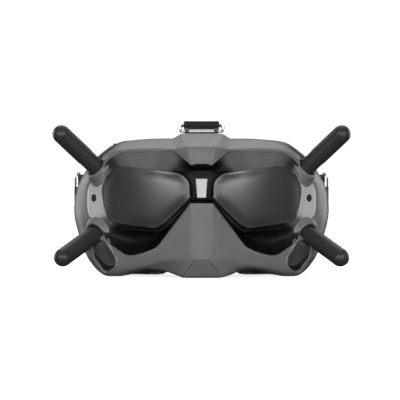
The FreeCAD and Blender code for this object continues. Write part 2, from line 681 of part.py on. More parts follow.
def fan_rotor():
    """Hub, shaft and seven pitched blades."""
    base = FAN_Z + 1.6
    rotor = Part.makeCylinder(4.6, 4.8, FreeCAD.Vector(FAN_X, FAN_Y, base))
    for n in range(7):
        angle = 2 * pi * n / 7
        blade = box(4.0, FAN_R, -0.45, 0.45, -2.2, 2.2)
        blade.rotate(FreeCAD.Vector(0, 0, 0), FreeCAD.Vector(1, 0, 0), 38)
        blade.rotate(FreeCAD.Vector(0, 0, 0), FreeCAD.Vector(0, 0, 1), angle * 180 / pi)
        blade.translate(FreeCAD.Vector(FAN_X, FAN_Y, base + 2.4))
        rotor = rotor.fuse(blade)
    shaft = Part.makeCylinder(1.0, 2.2, FreeCAD.Vector(FAN_X, FAN_Y, FAN_Z + 0.1))
    return rotor.fuse(shaft)


def button_board():
    """Switch boards under the top buttons, with a dome switch under each and a sleeve for the stick."""
    board = box(-64.8, -33, 9.5, 23.5, 83.6, 85.0)
    for x, y in (RECORD_BUTTON, BACK_BUTTON):
        board = board.fuse(Part.makeCylinder(2.2, 1.2, FreeCAD.Vector(x, y, 85.0)))
    sleeve = Part.makeCylinder(2.2, 1.1, FreeCAD.Vector(*STICK, 85.0))
    board = board.fuse(sleeve.cut(Part.makeCylinder(1.0 + PIVOT_GAP, 3, FreeCAD.Vector(*STICK, 85.0))))
    x, y = LINK_BUTTON
    link = box(x - 8, x + 8, 9.5, 23.5, 83.6, 85.0).fuse(Part.makeCylinder(2.2, 1.2, FreeCAD.Vector(x, y, 85.0)))
    return Part.makeCompound([board, link])


# ---- buttons ----------------------------------------------------------------------------
def top_button(centre, radius, top):
    """Round button with a retaining flange and a plunger."""
    x, y = centre
    cap = Part.makeCylinder(radius, 4.2, FreeCAD.Vector(x, y, top - 4.2))
    flange = Part.makeCylinder(radius + 0.9, 0.9, FreeCAD.Vector(x, y, top - 6.4))
    neck = Part.makeCylinder(radius, 2.4, FreeCAD.Vector(x, y, top - 6.4))
    foot = 85.0 + 1.2 + BUTTON_TRAVEL + 0.2
    plunger = Part.makeCylinder(1.2, top - 6.0 - foot, FreeCAD.Vector(x, y, foot))
    cap = cap.makeFillet(0.5, [e for e in cap.Edges if e.BoundBox.ZMin > top - 0.01])
    return cap.fuse(neck).fuse(flange).fuse(plunger).removeSplitter()


def stick_parts():
    """Five-way stick: plunger that takes the press, gimbal that tilts one way, cap that tilts the other."""
    x, y = STICK
    pivot = 89.0
    yoke = box(x - 3.4, x + 3.4, y - 1.6, y + 1.6, 86.4, 87.2)
    for dx in (-3.4, 2.6):
        yoke = yoke.fuse(box(x + dx, x + dx + 0.8, y - 1.2, y + 1.2, 86.4, pivot + 0.9))
    plunger = yoke.cut(rod((x - 5, y, pivot), (x + 5, y, pivot), 0.4 + PIVOT_GAP))
    plunger = plunger.fuse(Part.makeCylinder(1.0, 0.9, FreeCAD.Vector(x, y, 85.7)))
    gimbal = box(x - 1.7, x + 1.7, y - 1.7, y + 1.7, pivot - 0.7, pivot + 0.7)
    gimbal = gimbal.cut(box(x - 1.1, x + 1.1, y - 1.1, y + 1.1, pivot - 2, pivot + 2))
    gimbal = gimbal.fuse(rod((x - 3.4, y, pivot), (x - 1.2, y, pivot), 0.4))
    gimbal = gimbal.fuse(rod((x + 1.2, y, pivot), (x + 3.4, y, pivot), 0.4))
    gimbal = gimbal.cut(rod((x, y - 3, pivot), (x, y + 3, pivot), 0.3 + PIVOT_GAP))
    stem = rod((x, y, pivot - 0.6), (x, y, 92.2), 0.8)
    pin = rod((x, y - 1.65, pivot), (x, y + 1.65, pivot), 0.3)
    hat = Part.makeCone(2.9, 2.5, 2.0, FreeCAD.Vector(x, y, 92.0))
    dish = Part.makeSphere(6.0, FreeCAD.Vector(x, y, 99.6))
    return plunger, gimbal, stem.fuse(pin).fuse(hat.cut(dish))


def channel_button(centre):
    """Small push button in the side, modelled along the side's normal."""
    cap = Part.makeCylinder(2.1, 3.6, FreeCAD.Vector(0, 0, -3.0))
    flange = Part.makeCylinder(2.6, 0.8, FreeCAD.Vector(0, 0, -4.6))
    neck = Part.makeCylinder(2.1, 1.2, FreeCAD.Vector(0, 0, -4.0))
    return placed(cap.fuse(neck).fuse(flange), centre, side_normal(), (0, 0, 1))


def channel_display():
    """Small lit number window in the side."""
    body = rounded_plate(DISPLAY_SIZE[0] - 0.4, DISPLAY_SIZE[1] - 0.4, 2.2, 0.7)
    return placed(body, vec(CHANNEL_DISPLAY) - side_normal() * 2.4, side_normal(), (0, 0, 1))


def port_block():
    """Block with a power socket, an oval data port, an audio bore and a card slot."""
    body = rounded_plate(PORT_WINDOW[0] - 0.4, PORT_WINDOW[1] - 0.4, PORT_DEPTH, 1.3)
    body = body.cut(Part.makeCylinder(2.8, 20, FreeCAD.Vector(-6.4, 0, PORT_DEPTH - 10)))
    body = body.cut(Part.makeCylinder(1.75, 20, FreeCAD.Vector(-0.6, 0, PORT_DEPTH - 13)))
    oval = rounded_plate(6.6, 2.4, 20, 1.15)
    oval.translate(FreeCAD.Vector(5.3, -1.7, PORT_DEPTH - 7))
    body = body.cut(oval).cut(box(2.0, 8.6, 1.4, 2.2, PORT_DEPTH - 10, 20))
    return placed(body, vec(PORT_CENTRE) - vec(PORT_OUT).normalize() * (PORT_DEPTH + 0.4), PORT_OUT, (0, 1, 0))


# ---- strap rings, lugs and straps ---------------------------------------------------------
def strap_ring():
    """Wire ring: long bars along X at Y = 0 and Y = RING_SHORT, short ends with round corners."""
    x, r, corner = RING_LONG / 2, BAR_R, RING_CORNER
    ring = None
    for y in (0, RING_SHORT):
        bar = rod((-x + corner, y, 0), (x - corner, y, 0), r)
        ring = bar if ring is None else ring.fuse(bar)
    for s in (-1, 1):
        ring = ring.fuse(rod((s * x, corner, 0), (s * x, RING_SHORT - corner, 0), r))
    turns = ((1, RING_SHORT - corner, 0), (-1, RING_SHORT - corner, 90), (-1, corner, 180), (1, corner, 270))
    for s, y, angle in turns:
        elbow = Part.makeTorus(corner, r, FreeCAD.Vector(0, 0, 0), FreeCAD.Vector(0, 0, 1), -180, 180, 90)
        elbow.rotate(FreeCAD.Vector(0, 0, 0), FreeCAD.Vector(0, 0, 1), angle)
        elbow.translate(FreeCAD.Vector(s * (x - corner), y, 0))
        ring = ring.fuse(elbow)
    return ring


TOP_RING_PIVOT = (0, -12.0, 101.9)
TOP_RING_RISE = 4.6       # rear bar above the front bar
SIDE_RING_PIVOT = (89.4, 25.0, 57.6)


def top_ring_axes():
    run = (RING_SHORT ** 2 - TOP_RING_RISE ** 2) ** 0.5
    back = FreeCAD.Vector(0, run, TOP_RING_RISE).normalize()
    return FreeCAD.Vector(1, 0, 0).cross(back), FreeCAD.Vector(1, 0, 0), back


def top_ring():
    up, across, _ = top_ring_axes()
    return placed(strap_ring(), TOP_RING_PIVOT, up, across)


def side_ring(side):
    ring = placed(strap_ring(), SIDE_RING_PIVOT, (1, 0, 0), (0, 0, -1))
    return to_side(ring, side)


def top_bracket(shell):
    """Bracket on the hump with two eyes that hold the ring's front bar."""
    _, y, z = TOP_RING_PIVOT
    base = box(-11.5, 11.5, y + 2.0, y + 8.0, 97.5, 100.6)
    for x in (-11.5, 9.0):
        base = base.fuse(box(x, x + 2.5, y - 1.6, y + 6.0, 97.5, z))
        base = base.fuse(rod((x, y, z), (x + 2.5, y, z), 2.1))
    base = base.cut(rod((-20, y, z), (20, y, z), BAR_R + PIVOT_GAP))
    return largest(base.cut(shell))


def side_lug(side, shells):
    """Lug on the side of the housing with an eye for the ring's front bar."""
    x, y, z = SIDE_RING_PIVOT
    lug = box(82.5, x, y - 3.0, y + 3.0, z - 5.5, z + 5.5)
    lug = lug.fuse(rod((x, y, z - 5.5), (x, y, z + 5.5), 2.5))
    lug = lug.cut(rod((x, y, z - 30), (x, y, z + 30), BAR_R + PIVOT_GAP))
    lug = to_side(lug, side)
    for shell in shells:
        lug = lug.cut(shell)
    outer = [s for s in lug.Solids if abs(s.CenterOfMass.x) > 87]
    return max(outer, key=lambda s: s.Volume)


def smooth_path(points, steps):
    """Points along a smooth curve through the given points."""
    ends = [points[0] * 2 - points[1]] + points + [points[-1] * 2 - points[-2]]
    out = []
    for n in range(len(points) - 1):
        a, b, c, d = ends[n:n + 4]
        for k in range(steps):
            t = k / steps
            out.append((b * 2 + (c - a) * t + (a * 2 - b * 5 + c * 4 - d) * (t * t)
                        + (b * 3 - a - c * 3 + d) * (t * t * t)) * 0.5)
    return out + [points[-1]]


def webbing(tail, turn, run, normal):
    """Flat band of webbing: a sewn-back tail, the turn round a ring's bar, then its long run."""
    path = smooth_path([vec(p) for p in tail], 5) + [vec(p) for p in turn] + smooth_path([vec(p) for p in run], 5)
    width = vec(normal).normalize()
    half_width = STRAP_W / 2
    left, right = [], []
    for n, p in enumerate(path):
        ahead = path[min(n + 1, len(path) - 1)] - path[max(n - 1, 0)]
        aside = width.cross(ahead).normalize() * (STRAP_T / 2)
        left.append(p + aside - width * half_width)
        right.append(p - aside - width * half_width)
    outline = left + list(reversed(right))
    face = Part.Face(Part.makePolygon(outline + outline[:1]))
    return face.extrude(width * (2 * half_width))


def turn_points(bar_y, bar_other, steps=8):
    """Points of the half turn that a strap makes round the front of a ring's bar."""
    points = []
    for n in range(1, steps):
        angle = pi * n / steps
        points.append((bar_y - LOOP_R * sin(angle), bar_other - LOOP_R * cos(angle)))
    return points


LOOP_R = BAR_R + FIT + STRAP_T / 2
SIDE_STRAP = [(91.6, 50), (90, 70), (86.5, 95), (79, 121), (66, 146), (50, 165), (38, 176.2), (28, 180), (4, 180)]
TOP_STRAP = [(20, 108.6), (45, 107), (80, 102.5), (115, 96.6), (145, 90.8), (166, 87.4), (176, 86.6), (180.5, 83.4),
             (180.3, 77), (180, 71)]
PAD_FRONT = 171.5         # face of the back pad towards the head
PAD_SIZE = (60.0, 52.0, 7.0)


def side_strap(side):
    x, y, z = SIDE_RING_PIVOT
    y = y + RING_SHORT
    tail = [(x - 0.2, y + 20, z), (x + 0.15, y + 13, z), (x - LOOP_R + 1.0, y + 6, z), (x - LOOP_R, y, z)]
    turn = [(px, py, z) for py, px in turn_points(y, x)]
    run = [(x + LOOP_R, y, z)] + [(px, py, z) for px, py in SIDE_STRAP]
    return to_side(webbing(tail, turn, run, (0, 0, 1)), side)


def top_strap():
    _, _, back = top_ring_axes()
    bar = vec(TOP_RING_PIVOT) + back * RING_SHORT
    tail = [(0, bar.y + 21, bar.z - 0.2), (0, bar.y + 13, bar.z + 0.1), (0, bar.y + 6, bar.z - LOOP_R + 1.0),
            (0, bar.y, bar.z - LOOP_R)]
    turn = [(0, y, z) for y, z in turn_points(bar.y, bar.z)]
    run = [(0, bar.y, bar.z + LOOP_R)] + [(0, y, z) for y, z in TOP_STRAP]
    return webbing(tail, turn, run, (1, 0, 0))


def back_pad():
    """Padded panel at the back of the head that the three straps meet on."""
    pad = rounded_plate(*PAD_SIZE, 14)
    return placed(pad, (0, PAD_FRONT, SIDE_RING_PIVOT[2]), (0, 1, 0), (1, 0, 0))


def strap_adjusters(straps):
    """Three slotted glides: one on each side strap and one that joins the straps on the pad."""
    z = SIDE_RING_PIVOT[2]
    glides = []
    for side in SIDES.values():
        frame = rounded_plate(10.0, STRAP_W + 5, 4.0, 2.0)
        frame = placed(frame, (side * 87.0, 77, z), (side * 0.99, 0.12, 0), (side * -0.12, 0.99, 0))
        glides.append(frame)
    glides.append(placed(rounded_plate(20, 36, 2.2, 3), (0, 181.2, z + 3), (0, 1, 0), (1, 0, 0)))
    for strap in straps:
        glides = [glide.cut(strap) for glide in glides]
    return Part.makeCompound(glides)


def export(name, shape):
    """Write one node, moved so that the origin is under the middle of the whole part."""
    for solid in shape.Solids:
        if not solid.isValid():
            print("not valid:", name)
    shape.translated(FreeCAD.Vector(0, -ORIGIN_Y, 0)).exportStep("parts/" + name + ".step")


def build():
    parts = {}
    shell, cap, _ = split_chin(front_shell())
    rear = rear_shell()
    parts["front_shell"] = shell
    parts["chin_cap"] = cap
    parts["rear_shell"] = rear
    parts["front_cover"] = front_cover(shell)
    parts["cover_screws"] = cover_screws()
    parts["bridge_trim"] = bridge_trim()
    parts["face_frame"] = face_frame()
    parts["foam_pad"] = foam_pad()
    parts["guide_rods"] = guide_rods()
    parts["main_board"] = main_board()
    parts["heat_sink"] = heat_sink()
    parts["fan_housing"] = fan_housing()
    parts["fan_rotor"] = fan_rotor()
    parts["button_board"] = button_board()
    parts["record_button"] = top_button(RECORD_BUTTON, 4.0, 97.0)
    parts["back_button"] = top_button(BACK_BUTTON, 4.0, 95.9)
    parts["link_button"] = top_button(LINK_BUTTON, 2.5, 95.9)
    parts["stick_plunger"], parts["stick_gimbal"], parts["stick_cap"] = stick_parts()
    parts["channel_up_button"] = channel_button(CHANNEL_UP)
    parts["channel_down_button"] = channel_button(CHANNEL_DOWN)
    parts["channel_display"] = channel_display()
    parts["port_block"] = port_block()
    parts["top_ring"] = top_ring()
    parts["top_bracket"] = top_bracket(shell)
    parts["top_strap"] = top_strap()
    parts["back_pad"] = back_pad()
    bushes = []
    for name, side in SIDES.items():
        parts["eye_panel_" + name] = eye_panel(side)
        parts["intake_grille_" + name] = intake_grille(side)
        parts["lens_barrel_" + name] = lens_barrel(side)
        parts["eye_lens_" + name] = eye_lens(side)
        parts["display_panel_" + name] = display_panel(side)
        parts["ipd_slider_" + name] = ipd_slider(side)
        parts["side_ring_" + name] = side_ring(side)
        parts["side_lug_" + name] = side_lug(side, (shell, rear))
        parts["side_strap_" + name] = side_strap(side)
        for level in MOUNTS:
            place = level + "_" + name
            bushes.append(at_mount(antenna_bush(), level, side))
            parts["antenna_neck_" + place] = at_mount(antenna_neck(), level, side)
            parts["antenna_pin_" + place] = at_mount(antenna_pin(), level, side)
            parts["antenna_barrel_" + place] = at_mount(antenna_barrel(), level, side)
    parts["antenna_bushes"] = Part.makeCompound(bushes)
    straps = [parts["side_strap_left"], parts["side_strap_right"], parts["top_strap"]]
    parts["strap_adjusters"] = strap_adjusters(straps)
    return parts


os.makedirs("parts", exist_ok=True)
for part_name, part_shape in build().items():
    export(part_name, part_shape)
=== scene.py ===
import json
import math

import bmesh
import bpy
import numpy as np
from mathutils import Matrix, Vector
from mathutils.bvhtree import BVHTree

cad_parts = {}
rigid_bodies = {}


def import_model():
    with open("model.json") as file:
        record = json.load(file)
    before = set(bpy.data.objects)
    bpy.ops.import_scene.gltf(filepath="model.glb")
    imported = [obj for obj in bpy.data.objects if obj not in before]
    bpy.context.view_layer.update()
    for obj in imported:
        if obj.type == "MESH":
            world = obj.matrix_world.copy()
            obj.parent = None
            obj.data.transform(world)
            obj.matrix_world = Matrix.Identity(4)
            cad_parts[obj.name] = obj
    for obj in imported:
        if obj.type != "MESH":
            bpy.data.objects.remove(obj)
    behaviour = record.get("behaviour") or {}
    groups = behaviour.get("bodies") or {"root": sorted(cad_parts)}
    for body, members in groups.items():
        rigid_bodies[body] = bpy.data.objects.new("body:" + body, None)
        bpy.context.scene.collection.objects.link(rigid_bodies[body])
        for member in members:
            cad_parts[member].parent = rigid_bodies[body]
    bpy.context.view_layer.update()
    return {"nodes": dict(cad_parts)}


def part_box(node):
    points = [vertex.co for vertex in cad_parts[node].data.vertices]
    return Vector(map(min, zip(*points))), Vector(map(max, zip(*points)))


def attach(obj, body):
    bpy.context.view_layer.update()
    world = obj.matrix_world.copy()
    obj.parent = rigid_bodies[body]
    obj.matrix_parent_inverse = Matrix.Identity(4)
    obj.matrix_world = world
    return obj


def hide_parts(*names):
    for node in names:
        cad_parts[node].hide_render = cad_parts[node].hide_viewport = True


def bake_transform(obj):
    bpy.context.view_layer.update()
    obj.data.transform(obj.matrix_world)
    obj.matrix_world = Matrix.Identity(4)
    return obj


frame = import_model()

# The points below are in millimetres, in the part source's own modelling frame. That frame and the
# packed one differ by a shift along Y, which is read off the front housing's box.
MM = 0.001
FRONT_Y = -62.0
SHIFT_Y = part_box("front_shell")[0].y - FRONT_Y * MM
SIDES = {"left": -1, "right": 1}
SEAM_GAP = 0.1
MOUNTS = {
    "upper": ((73.8, -21.0, 76.6), (0.639, -0.454, 0.621)),
    "lower": ((74.3, -20.0, 29.8), (0.585, -0.683, -0.438)),
}

RIM = [
    (0, -60.5, 78.3), (7.2, -60.5, 78.3), (17.8, -49.5, 86.7), (36, -43.5, 87.2),
    (50, -38, 87), (57.5, -34.5, 85.6), (65.5, -29.5, 80.5), (70, -26, 73.5),
    (77, -18.5, 66.5), (80, -15.5, 59.5), (80.2, -15.5, 50), (78, -18, 41.5),
    (71.5, -24, 37), (66, -27.5, 25), (57, -32.5, 19), (49, -36.5, 15.6),
    (34, -44, 20), (26.5, -48.5, 27), (9.9, -60, 48.7), (7.9, -61.5, 51.2),
    (0, -61.5, 51.2),
]
CREASE = [
    (0, -57.5, 89.2), (9.5, -57, 89.2), (18.8, -48, 88.6), (36, -42, 89.2),
    (50.5, -36.5, 88.8), (58.8, -32.8, 87.2), (67.2, -27.5, 81.8), (72, -24, 74),
    (79, -16.5, 67.3), (81.8, -13.5, 59.8), (82, -13.5, 49.8), (79.8, -16, 40.8),
    (73, -22, 35.5), (67, -26.5, 23), (57.3, -32, 16.8), (48.5, -36, 13.3),
    (33, -44.5, 17.5), (25, -49.5, 25), (8.2, -61.3, 47), (6.9, -62, 48.6),
    (0, -62, 48.6),
]
SHOULDER = [
    (0, -42, 95), (12, -41, 94.6), (20, -35, 92.6), (37, -30, 93.4),
    (52.5, -27, 92), (61, -24, 89), (70.5, -19.5, 82.5), (76, -16, 74.5),
    (82.5, -10.5, 66.8), (85, -8, 59), (85.6, -8, 48.5), (84, -10.5, 39),
    (78.5, -15, 29), (72, -21, 15), (61, -28.5, 9.5), (50, -33, 8),
    (35, -40.5, 10), (22, -49, 12.6), (7.5, -57, 12.6), (4.6, -57.5, 12.6),
    (0, -57.5, 12.6),
]
SIDE = [
    (0, -22, 100), (14.3, -22, 99.8), (20.6, -20, 96.4), (37, -18, 96.2),
    (53, -16, 94), (62, -14, 90), (71.5, -11, 82.5), (80, -6, 74.5),
    (85.5, -3, 66), (88, -1, 57.5), (88.8, -1, 47), (87.3, -3, 37.5),
    (83.5, -8, 26.5), (78, -14, 11), (67.5, -18, 1.2), (55, -20, 0.9),
    (40, -28, 5), (26, -35, 4.2), (12.7, -46, 0), (6, -46.5, 0),
    (0, -46.5, 0),
]
SEAM = [
    (0, 8, 100), (14.3, 8, 99.8), (20.8, 8, 97), (38, 8, 96.7),
    (55, 8, 94.4), (63.5, 8, 89.5), (73.5, 8, 81), (82, 8, 73.5),
    (87, 8, 65), (89.4, 8, 56.5), (90.4, 8, 46.5), (89.2, 8, 37),
    (86.3, 8, 26.5), (80, 8, 11), (67, 8, 0), (54, 8, 0),
    (40, 8, 4), (26, 8, 4.6), (12.7, 8, 4), (6, 8, 4),
    (0, 8, 4),
]
BACK = [
    (0, 18, 99), (14.3, 18, 98.8), (21, 18, 97.6), (38, 18, 97.2),
    (56.5, 18, 95.6), (66, 18, 91.6), (76.3, 18, 83.2), (83, 18, 74),
    (86.4, 18, 65), (88.2, 18, 56.5), (88.8, 18, 46.5), (87.8, 18, 37),
    (85, 18, 26.5), (79, 18, 10.5), (66.5, 18, 0), (54, 18, 0),
    (40, 18, 0), (27, 17, 0.8), (17, 14, 8.5), (8, 12, 18.5),
    (0, 11.5, 21),
]
FACE = [
    (0, 28, 96.5), (14.3, 28.5, 96.5), (21, 29.5, 96.2), (38, 32, 94.8),
    (55, 37, 91.4), (64, 40.5, 87), (72.5, 44, 79.5), (78, 46.5, 71.5),
    (81, 48, 64), (82.4, 48.5, 56), (82.8, 48.5, 47), (82, 48, 38),
    (79.5, 46, 28), (73, 42, 13), (63, 37, 4), (52, 33, 1.2),
    (40, 30, 1.6), (28, 25, 7), (18, 18.5, 17), (9, 14.5, 24),
    (0, 13.5, 26.5),
]
SEAT = [
    (0, -53, 74), (7.5, -53, 73.5), (15.5, -52.5, 72.5), (28.5, -49.5, 74.5),
    (46, -42.5, 76.2), (57, -36.5, 76.7), (62.5, -32.5, 74), (66, -29, 70),
    (69, -26, 65), (70, -24.5, 60), (69.3, -24.5, 53), (67.5, -26, 46),
    (65, -28, 40), (60, -31, 37), (53, -35, 35), (45, -39, 34),
    (35, -44, 33.5), (26, -48, 36), (9.5, -54, 52.5), (7.5, -54.5, 54),
    (0, -54.5, 54),
]
VALLEY = {
    6: (63.5, -28.0, 77.4), 7: (67.2, -24.6, 71.8),
    12: (68, -24, 38), 13: (62, -26, 31), 14: (55, -28, 28), 15: (46, -31, 26),
    16: (36, -36, 27), 17: (28, -41, 32), 18: (10, -52.5, 50.8),
}
PANEL = [
    (16.1, -55, 71.5), (28.5, -52.5, 73.6), (45, -45.5, 75.6), (56.6, -38.5, 76.2),
    (61.6, -34.8, 74), (65.2, -31.2, 70), (68.2, -28, 65), (69.3, -26.6, 60),
    (68.7, -26.5, 53.2), (67, -28, 46.4), (64.6, -30.5, 40.4), (60, -33.6, 38),
    (49.3, -39.5, 36.3), (36.7, -45.5, 34.7), (31.9, -47.5, 34.4), (27.1, -49.5, 36.6),
    (21.6, -52, 41.3), (9.3, -56.5, 53.4), (8, -57, 56), (8.2, -57, 60.5),
    (9.2, -56.8, 66.2), (12.6, -56, 69.8),
]
TIP = len(RIM) - 1            # position of the bottom middle in each half loop
EYE_Z = 56                    # height of the lens centres


# ---- mesh helpers ----
FIT_ROUNDS, FIT_SHARE = 6, 0.85      # how often, and how far each time, a cage is moved to fit


def to_frame(p):
    """A point in modelling millimetres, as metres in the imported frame."""
    return Vector((p[0] * MM, p[1] * MM + SHIFT_Y, p[2] * MM))


def to_model(p):
    return Vector((p[0] / MM, (p[1] - SHIFT_Y) / MM, p[2] / MM))


def full_loop(half):
    right = [Vector(p) for p in half]
    left = [Vector((-p.x, p.y, p.z)) for p in reversed(right[1:-1])]
    return right + left


def half_index(column):
    """Position in the half loop of a column of the full loop."""
    return column if column <= TIP else 2 * TIP - column


def new_object(name, mesh):
    obj = bpy.data.objects.new(name, mesh)
    bpy.context.scene.collection.objects.link(obj)
    return obj


def raw_piece(name, points, faces, material=None):
    """Mesh from points in modelling millimetres."""
    mesh = bpy.data.meshes.new(name)
    mesh.from_pydata([to_frame(p) for p in points], [], faces)
    mesh.validate()
    obj = new_object(name, mesh)
    if material:
        mesh.materials.append(material)
    return obj


def final_mesh(obj):
    """New mesh of the object's shape with its modifiers."""
    bpy.context.view_layer.update()
    dg = bpy.context.evaluated_depsgraph_get()
    return bpy.data.meshes.new_from_object(obj.evaluated_get(dg))


def bake_modifiers(obj):
    mesh = final_mesh(obj)
    obj.modifiers.clear()
    obj.data = mesh
    return obj


def even_normals(obj, closed=False):
    """Faces turned the same way, and outward on a closed solid."""
    bm = bmesh.new()
    bm.from_mesh(obj.data)
    bmesh.ops.recalc_face_normals(bm, faces=bm.faces)
    if closed and bm.calc_volume(signed=True) < 0:
        bmesh.ops.reverse_faces(bm, faces=bm.faces)
    bm.to_mesh(obj.data)
    bm.free()


def smooth(obj, angle):
    """Smooth shading, with sharp edges only where faces meet at more than the angle."""
    obj.data.polygons.foreach_set("use_smooth", [True] * len(obj.data.polygons))
    obj.data.set_sharp_from_angle(angle=math.radians(angle))
    obj.data.update()
    return obj


def dressed(obj, material, angle=80):
    """The object in one material, with smooth shading."""
    obj.data.materials.clear()
    obj.data.materials.append(material)
    return smooth(obj, angle)


def coordinates(mesh):
    flat = np.empty(len(mesh.vertices) * 3)
    mesh.vertices.foreach_get("co", flat)
    return flat.reshape(-1, 3)


def set_coordinates(mesh, points):
    mesh.vertices.foreach_set("co", points.ravel())
    mesh.update()


def shown_coordinates(obj):
    """Vertices of the object with its modifiers."""
    bpy.context.view_layer.update()
    shown = obj.evaluated_get(bpy.context.evaluated_depsgraph_get())
    points = coordinates(shown.to_mesh())
    shown.to_mesh_clear()
    return points


def subdivide(obj, creases, levels, through):
    """Subdivision surface with creased edges. With through, it passes through the cage's points."""
    mesh = obj.data
    even_normals(obj)
    layer = mesh.attributes.new("crease_edge", "FLOAT", "EDGE")
    for edge in mesh.edges:
        layer.data[edge.index].value = creases.get(frozenset(edge.vertices), 0.0)
    mod = obj.modifiers.new("rounding", "SUBSURF")
    mod.levels = 2
    mod.render_levels = levels
    mod.use_limit_surface = True
    target = coordinates(mesh)
    for _ in range(FIT_ROUNDS if through else 0):
        now = shown_coordinates(obj)[:len(target)]
        set_coordinates(mesh, coordinates(mesh) + (target - now) * FIT_SHARE)
    mod.levels = levels
    bake_modifiers(obj)
    even_normals(obj, closed=True)
    return obj


def offset_loops(loops, depth):
    """Loops moved inward by depth along the surface normals."""
    count = len(loops[0])
    out = []
    for i, loop in enumerate(loops):
        before = loops[max(i - 1, 0)]
        after = loops[min(i + 1, len(loops) - 1)]
        moved = []
        for k, p in enumerate(loop):
            along = after[k] - before[k]
            across = loop[(k + 1) % count] - loop[k - 1]
            moved.append(p + along.cross(across).normalized() * depth)
        out.append(moved)
    return out


def toward(a, b, distance):
    """Loop a's points, moved the distance toward loop b's."""
    return [p + (q - p).normalized() * min(distance, (q - p).length * 0.35) for p, q in zip(a, b)]


def ring_piece(name, loops, row_crease, column_crease=None, hard=None, wrap=False, levels=3,
               cap=None, through=True):
    """Subdivided surface through closed loops of points.

    hard maps a loop to its edge radius, and cap gives the faces that close the ends.
    """
    hard = hard or {}
    rows, creases = [], []
    last = len(loops) - 1
    for i, loop in enumerate(loops):
        before = loops[i - 1] if i or wrap else None
        after = loops[(i + 1) % len(loops)] if i < last or wrap else None
        crease = row_crease.get(i, 0.0)
        if i in hard and before is not None:
            rows.append(toward(loop, before, hard[i]))
            creases.append(0.0)
        rows.append(loop)
        creases.append(0.0 if i in hard else crease)
        if i in hard and after is not None:
            rows.append(toward(loop, after, hard[i]))
            creases.append(0.0)
    count = len(loops[0])
    points = [p for row in rows for p in row]
    faces, crease_of = [], {}
    spans = len(rows) if wrap else len(rows) - 1
    for i in range(len(rows)):
        for k in range(count):
            here = i * count + k
            side = i * count + (k + 1) % count
            down = ((i + 1) % len(rows)) * count
            value = creases[i]
            if callable(value):
                value = value(k)
            crease_of[frozenset((here, side))] = value
            if i < spans:
                faces.append((here, side, down + (k + 1) % count, down + k))
                if column_crease:
                    crease_of[frozenset((here, down + k))] = column_crease(i, k)
    if cap:
        faces += cap(len(rows), count)
    obj = raw_piece(name, points, faces)
    return subdivide(obj, crease_of, levels, through)


def tube_faces(rows, count, base=0):
    """Quads between successive rings of count points each."""
    faces = []
    for start in range(base, base + (rows - 1) * count, count):
        for k in range(count):
            a, b = start + k, start + (k + 1) % count
            faces.append((a, b, b + count, a + count))
    return faces


def end_caps(rows, count):
    """One face over each end of a tube."""
    return [tuple(range(count)), tuple(reversed(range((rows - 1) * count, rows * count)))]


def prism(name, outline, origin, z_axis, x_axis, low, high):
    """Straight sided solid with the given outline, along z_axis from low to high."""
    z = Vector(z_axis).normalized()
    x = Vector(x_axis)
    x = (x - z * x.dot(z)).normalized()
    y = z.cross(x)
    points = []
    for h in (low, high):
        points += [Vector(origin) + x * u + y * v + z * h for u, v in outline]
    n = len(outline)
    faces = [tuple(reversed(range(n))), tuple(range(n, 2 * n))]
    return raw_piece(name, points, faces + tube_faces(2, n))


def circle(radius, count=48):
    angles = [2 * math.pi * k / count for k in range(count)]
    return [(radius * math.cos(a), radius * math.sin(a)) for a in angles]


def rounded_rectangle(length, width, radius, steps=8):
    out = []
    corners = ((1, 1, 0), (-1, 1, 90), (-1, -1, 180), (1, -1, 270))
    for sx, sy, start in corners:
        for k in range(steps + 1):
            angle = math.radians(start + 90 * k / steps)
            out.append((sx * (length / 2 - radius) + radius * math.cos(angle),
                        sy * (width / 2 - radius) + radius * math.sin(angle)))
    return out


def round_off(obj):
    """One level of subdivision, and smooth shading."""
    mod = obj.modifiers.new("rounding", "SUBSURF")
    mod.levels = mod.render_levels = 1
    return smooth(bake_modifiers(obj), 60)


def boolean(obj, other, operation):
    mod = obj.modifiers.new("cut", "BOOLEAN")
    mod.object = other
    mod.operation = operation
    mod.solver = "EXACT"
    bake_modifiers(obj)


def cut(obj, cutters):
    for cutter in cutters:
        even_normals(cutter, closed=True)
        boolean(obj, cutter, "DIFFERENCE")
        bpy.data.objects.remove(cutter)


def tree_of(objects):
    """Search tree over several objects' faces, in modelling millimetres."""
    points, faces = [], []
    for obj in objects:
        base = len(points)
        points += [to_model(v.co) for v in obj.data.vertices]
        faces += [[base + i for i in p.vertices] for p in obj.data.polygons]
    return BVHTree.FromPolygons(points, faces)


# ---- materials ----
RIB = 0.0011                         # spacing of the webbing's ribs, in metres


def nodes_of(name):
    material = bpy.data.materials.new(name)
    material.use_nodes = True
    tree = material.node_tree
    shader = tree.nodes["Principled BSDF"]
    return material, tree, shader


def set_inputs(node, values):
    for name, value in values.items():
        node.inputs[name].default_value = value


def noise_node(tree, scale, detail, rough=0.55):
    where = tree.nodes.new("ShaderNodeTexCoord")
    tex = tree.nodes.new("ShaderNodeTexNoise")
    set_inputs(tex, {"Scale": scale, "Detail": detail, "Roughness": rough})
    tree.links.new(where.outputs["Object"], tex.inputs["Vector"])
    return tex.outputs["Fac"]


def ranged(tree, source, low, high):
    """The middle half of a value from 0 to 1, stretched from low to high."""
    node = tree.nodes.new("ShaderNodeMapRange")
    set_inputs(node, {"From Min": 0.25, "From Max": 0.75, "To Min": low, "To Max": high})
    tree.links.new(source, node.inputs["Value"])
    return node.outputs["Result"]


def mixed(tree, factor, a, b):
    mix = tree.nodes.new("ShaderNodeMix")
    mix.data_type = "RGBA"
    set_inputs(mix, {"A": (*a, 1), "B": (*b, 1)})
    tree.links.new(factor, mix.inputs["Factor"])
    return mix.outputs["Result"]


def scaled(color, k):
    return tuple(min(1.0, c * k) for c in color)


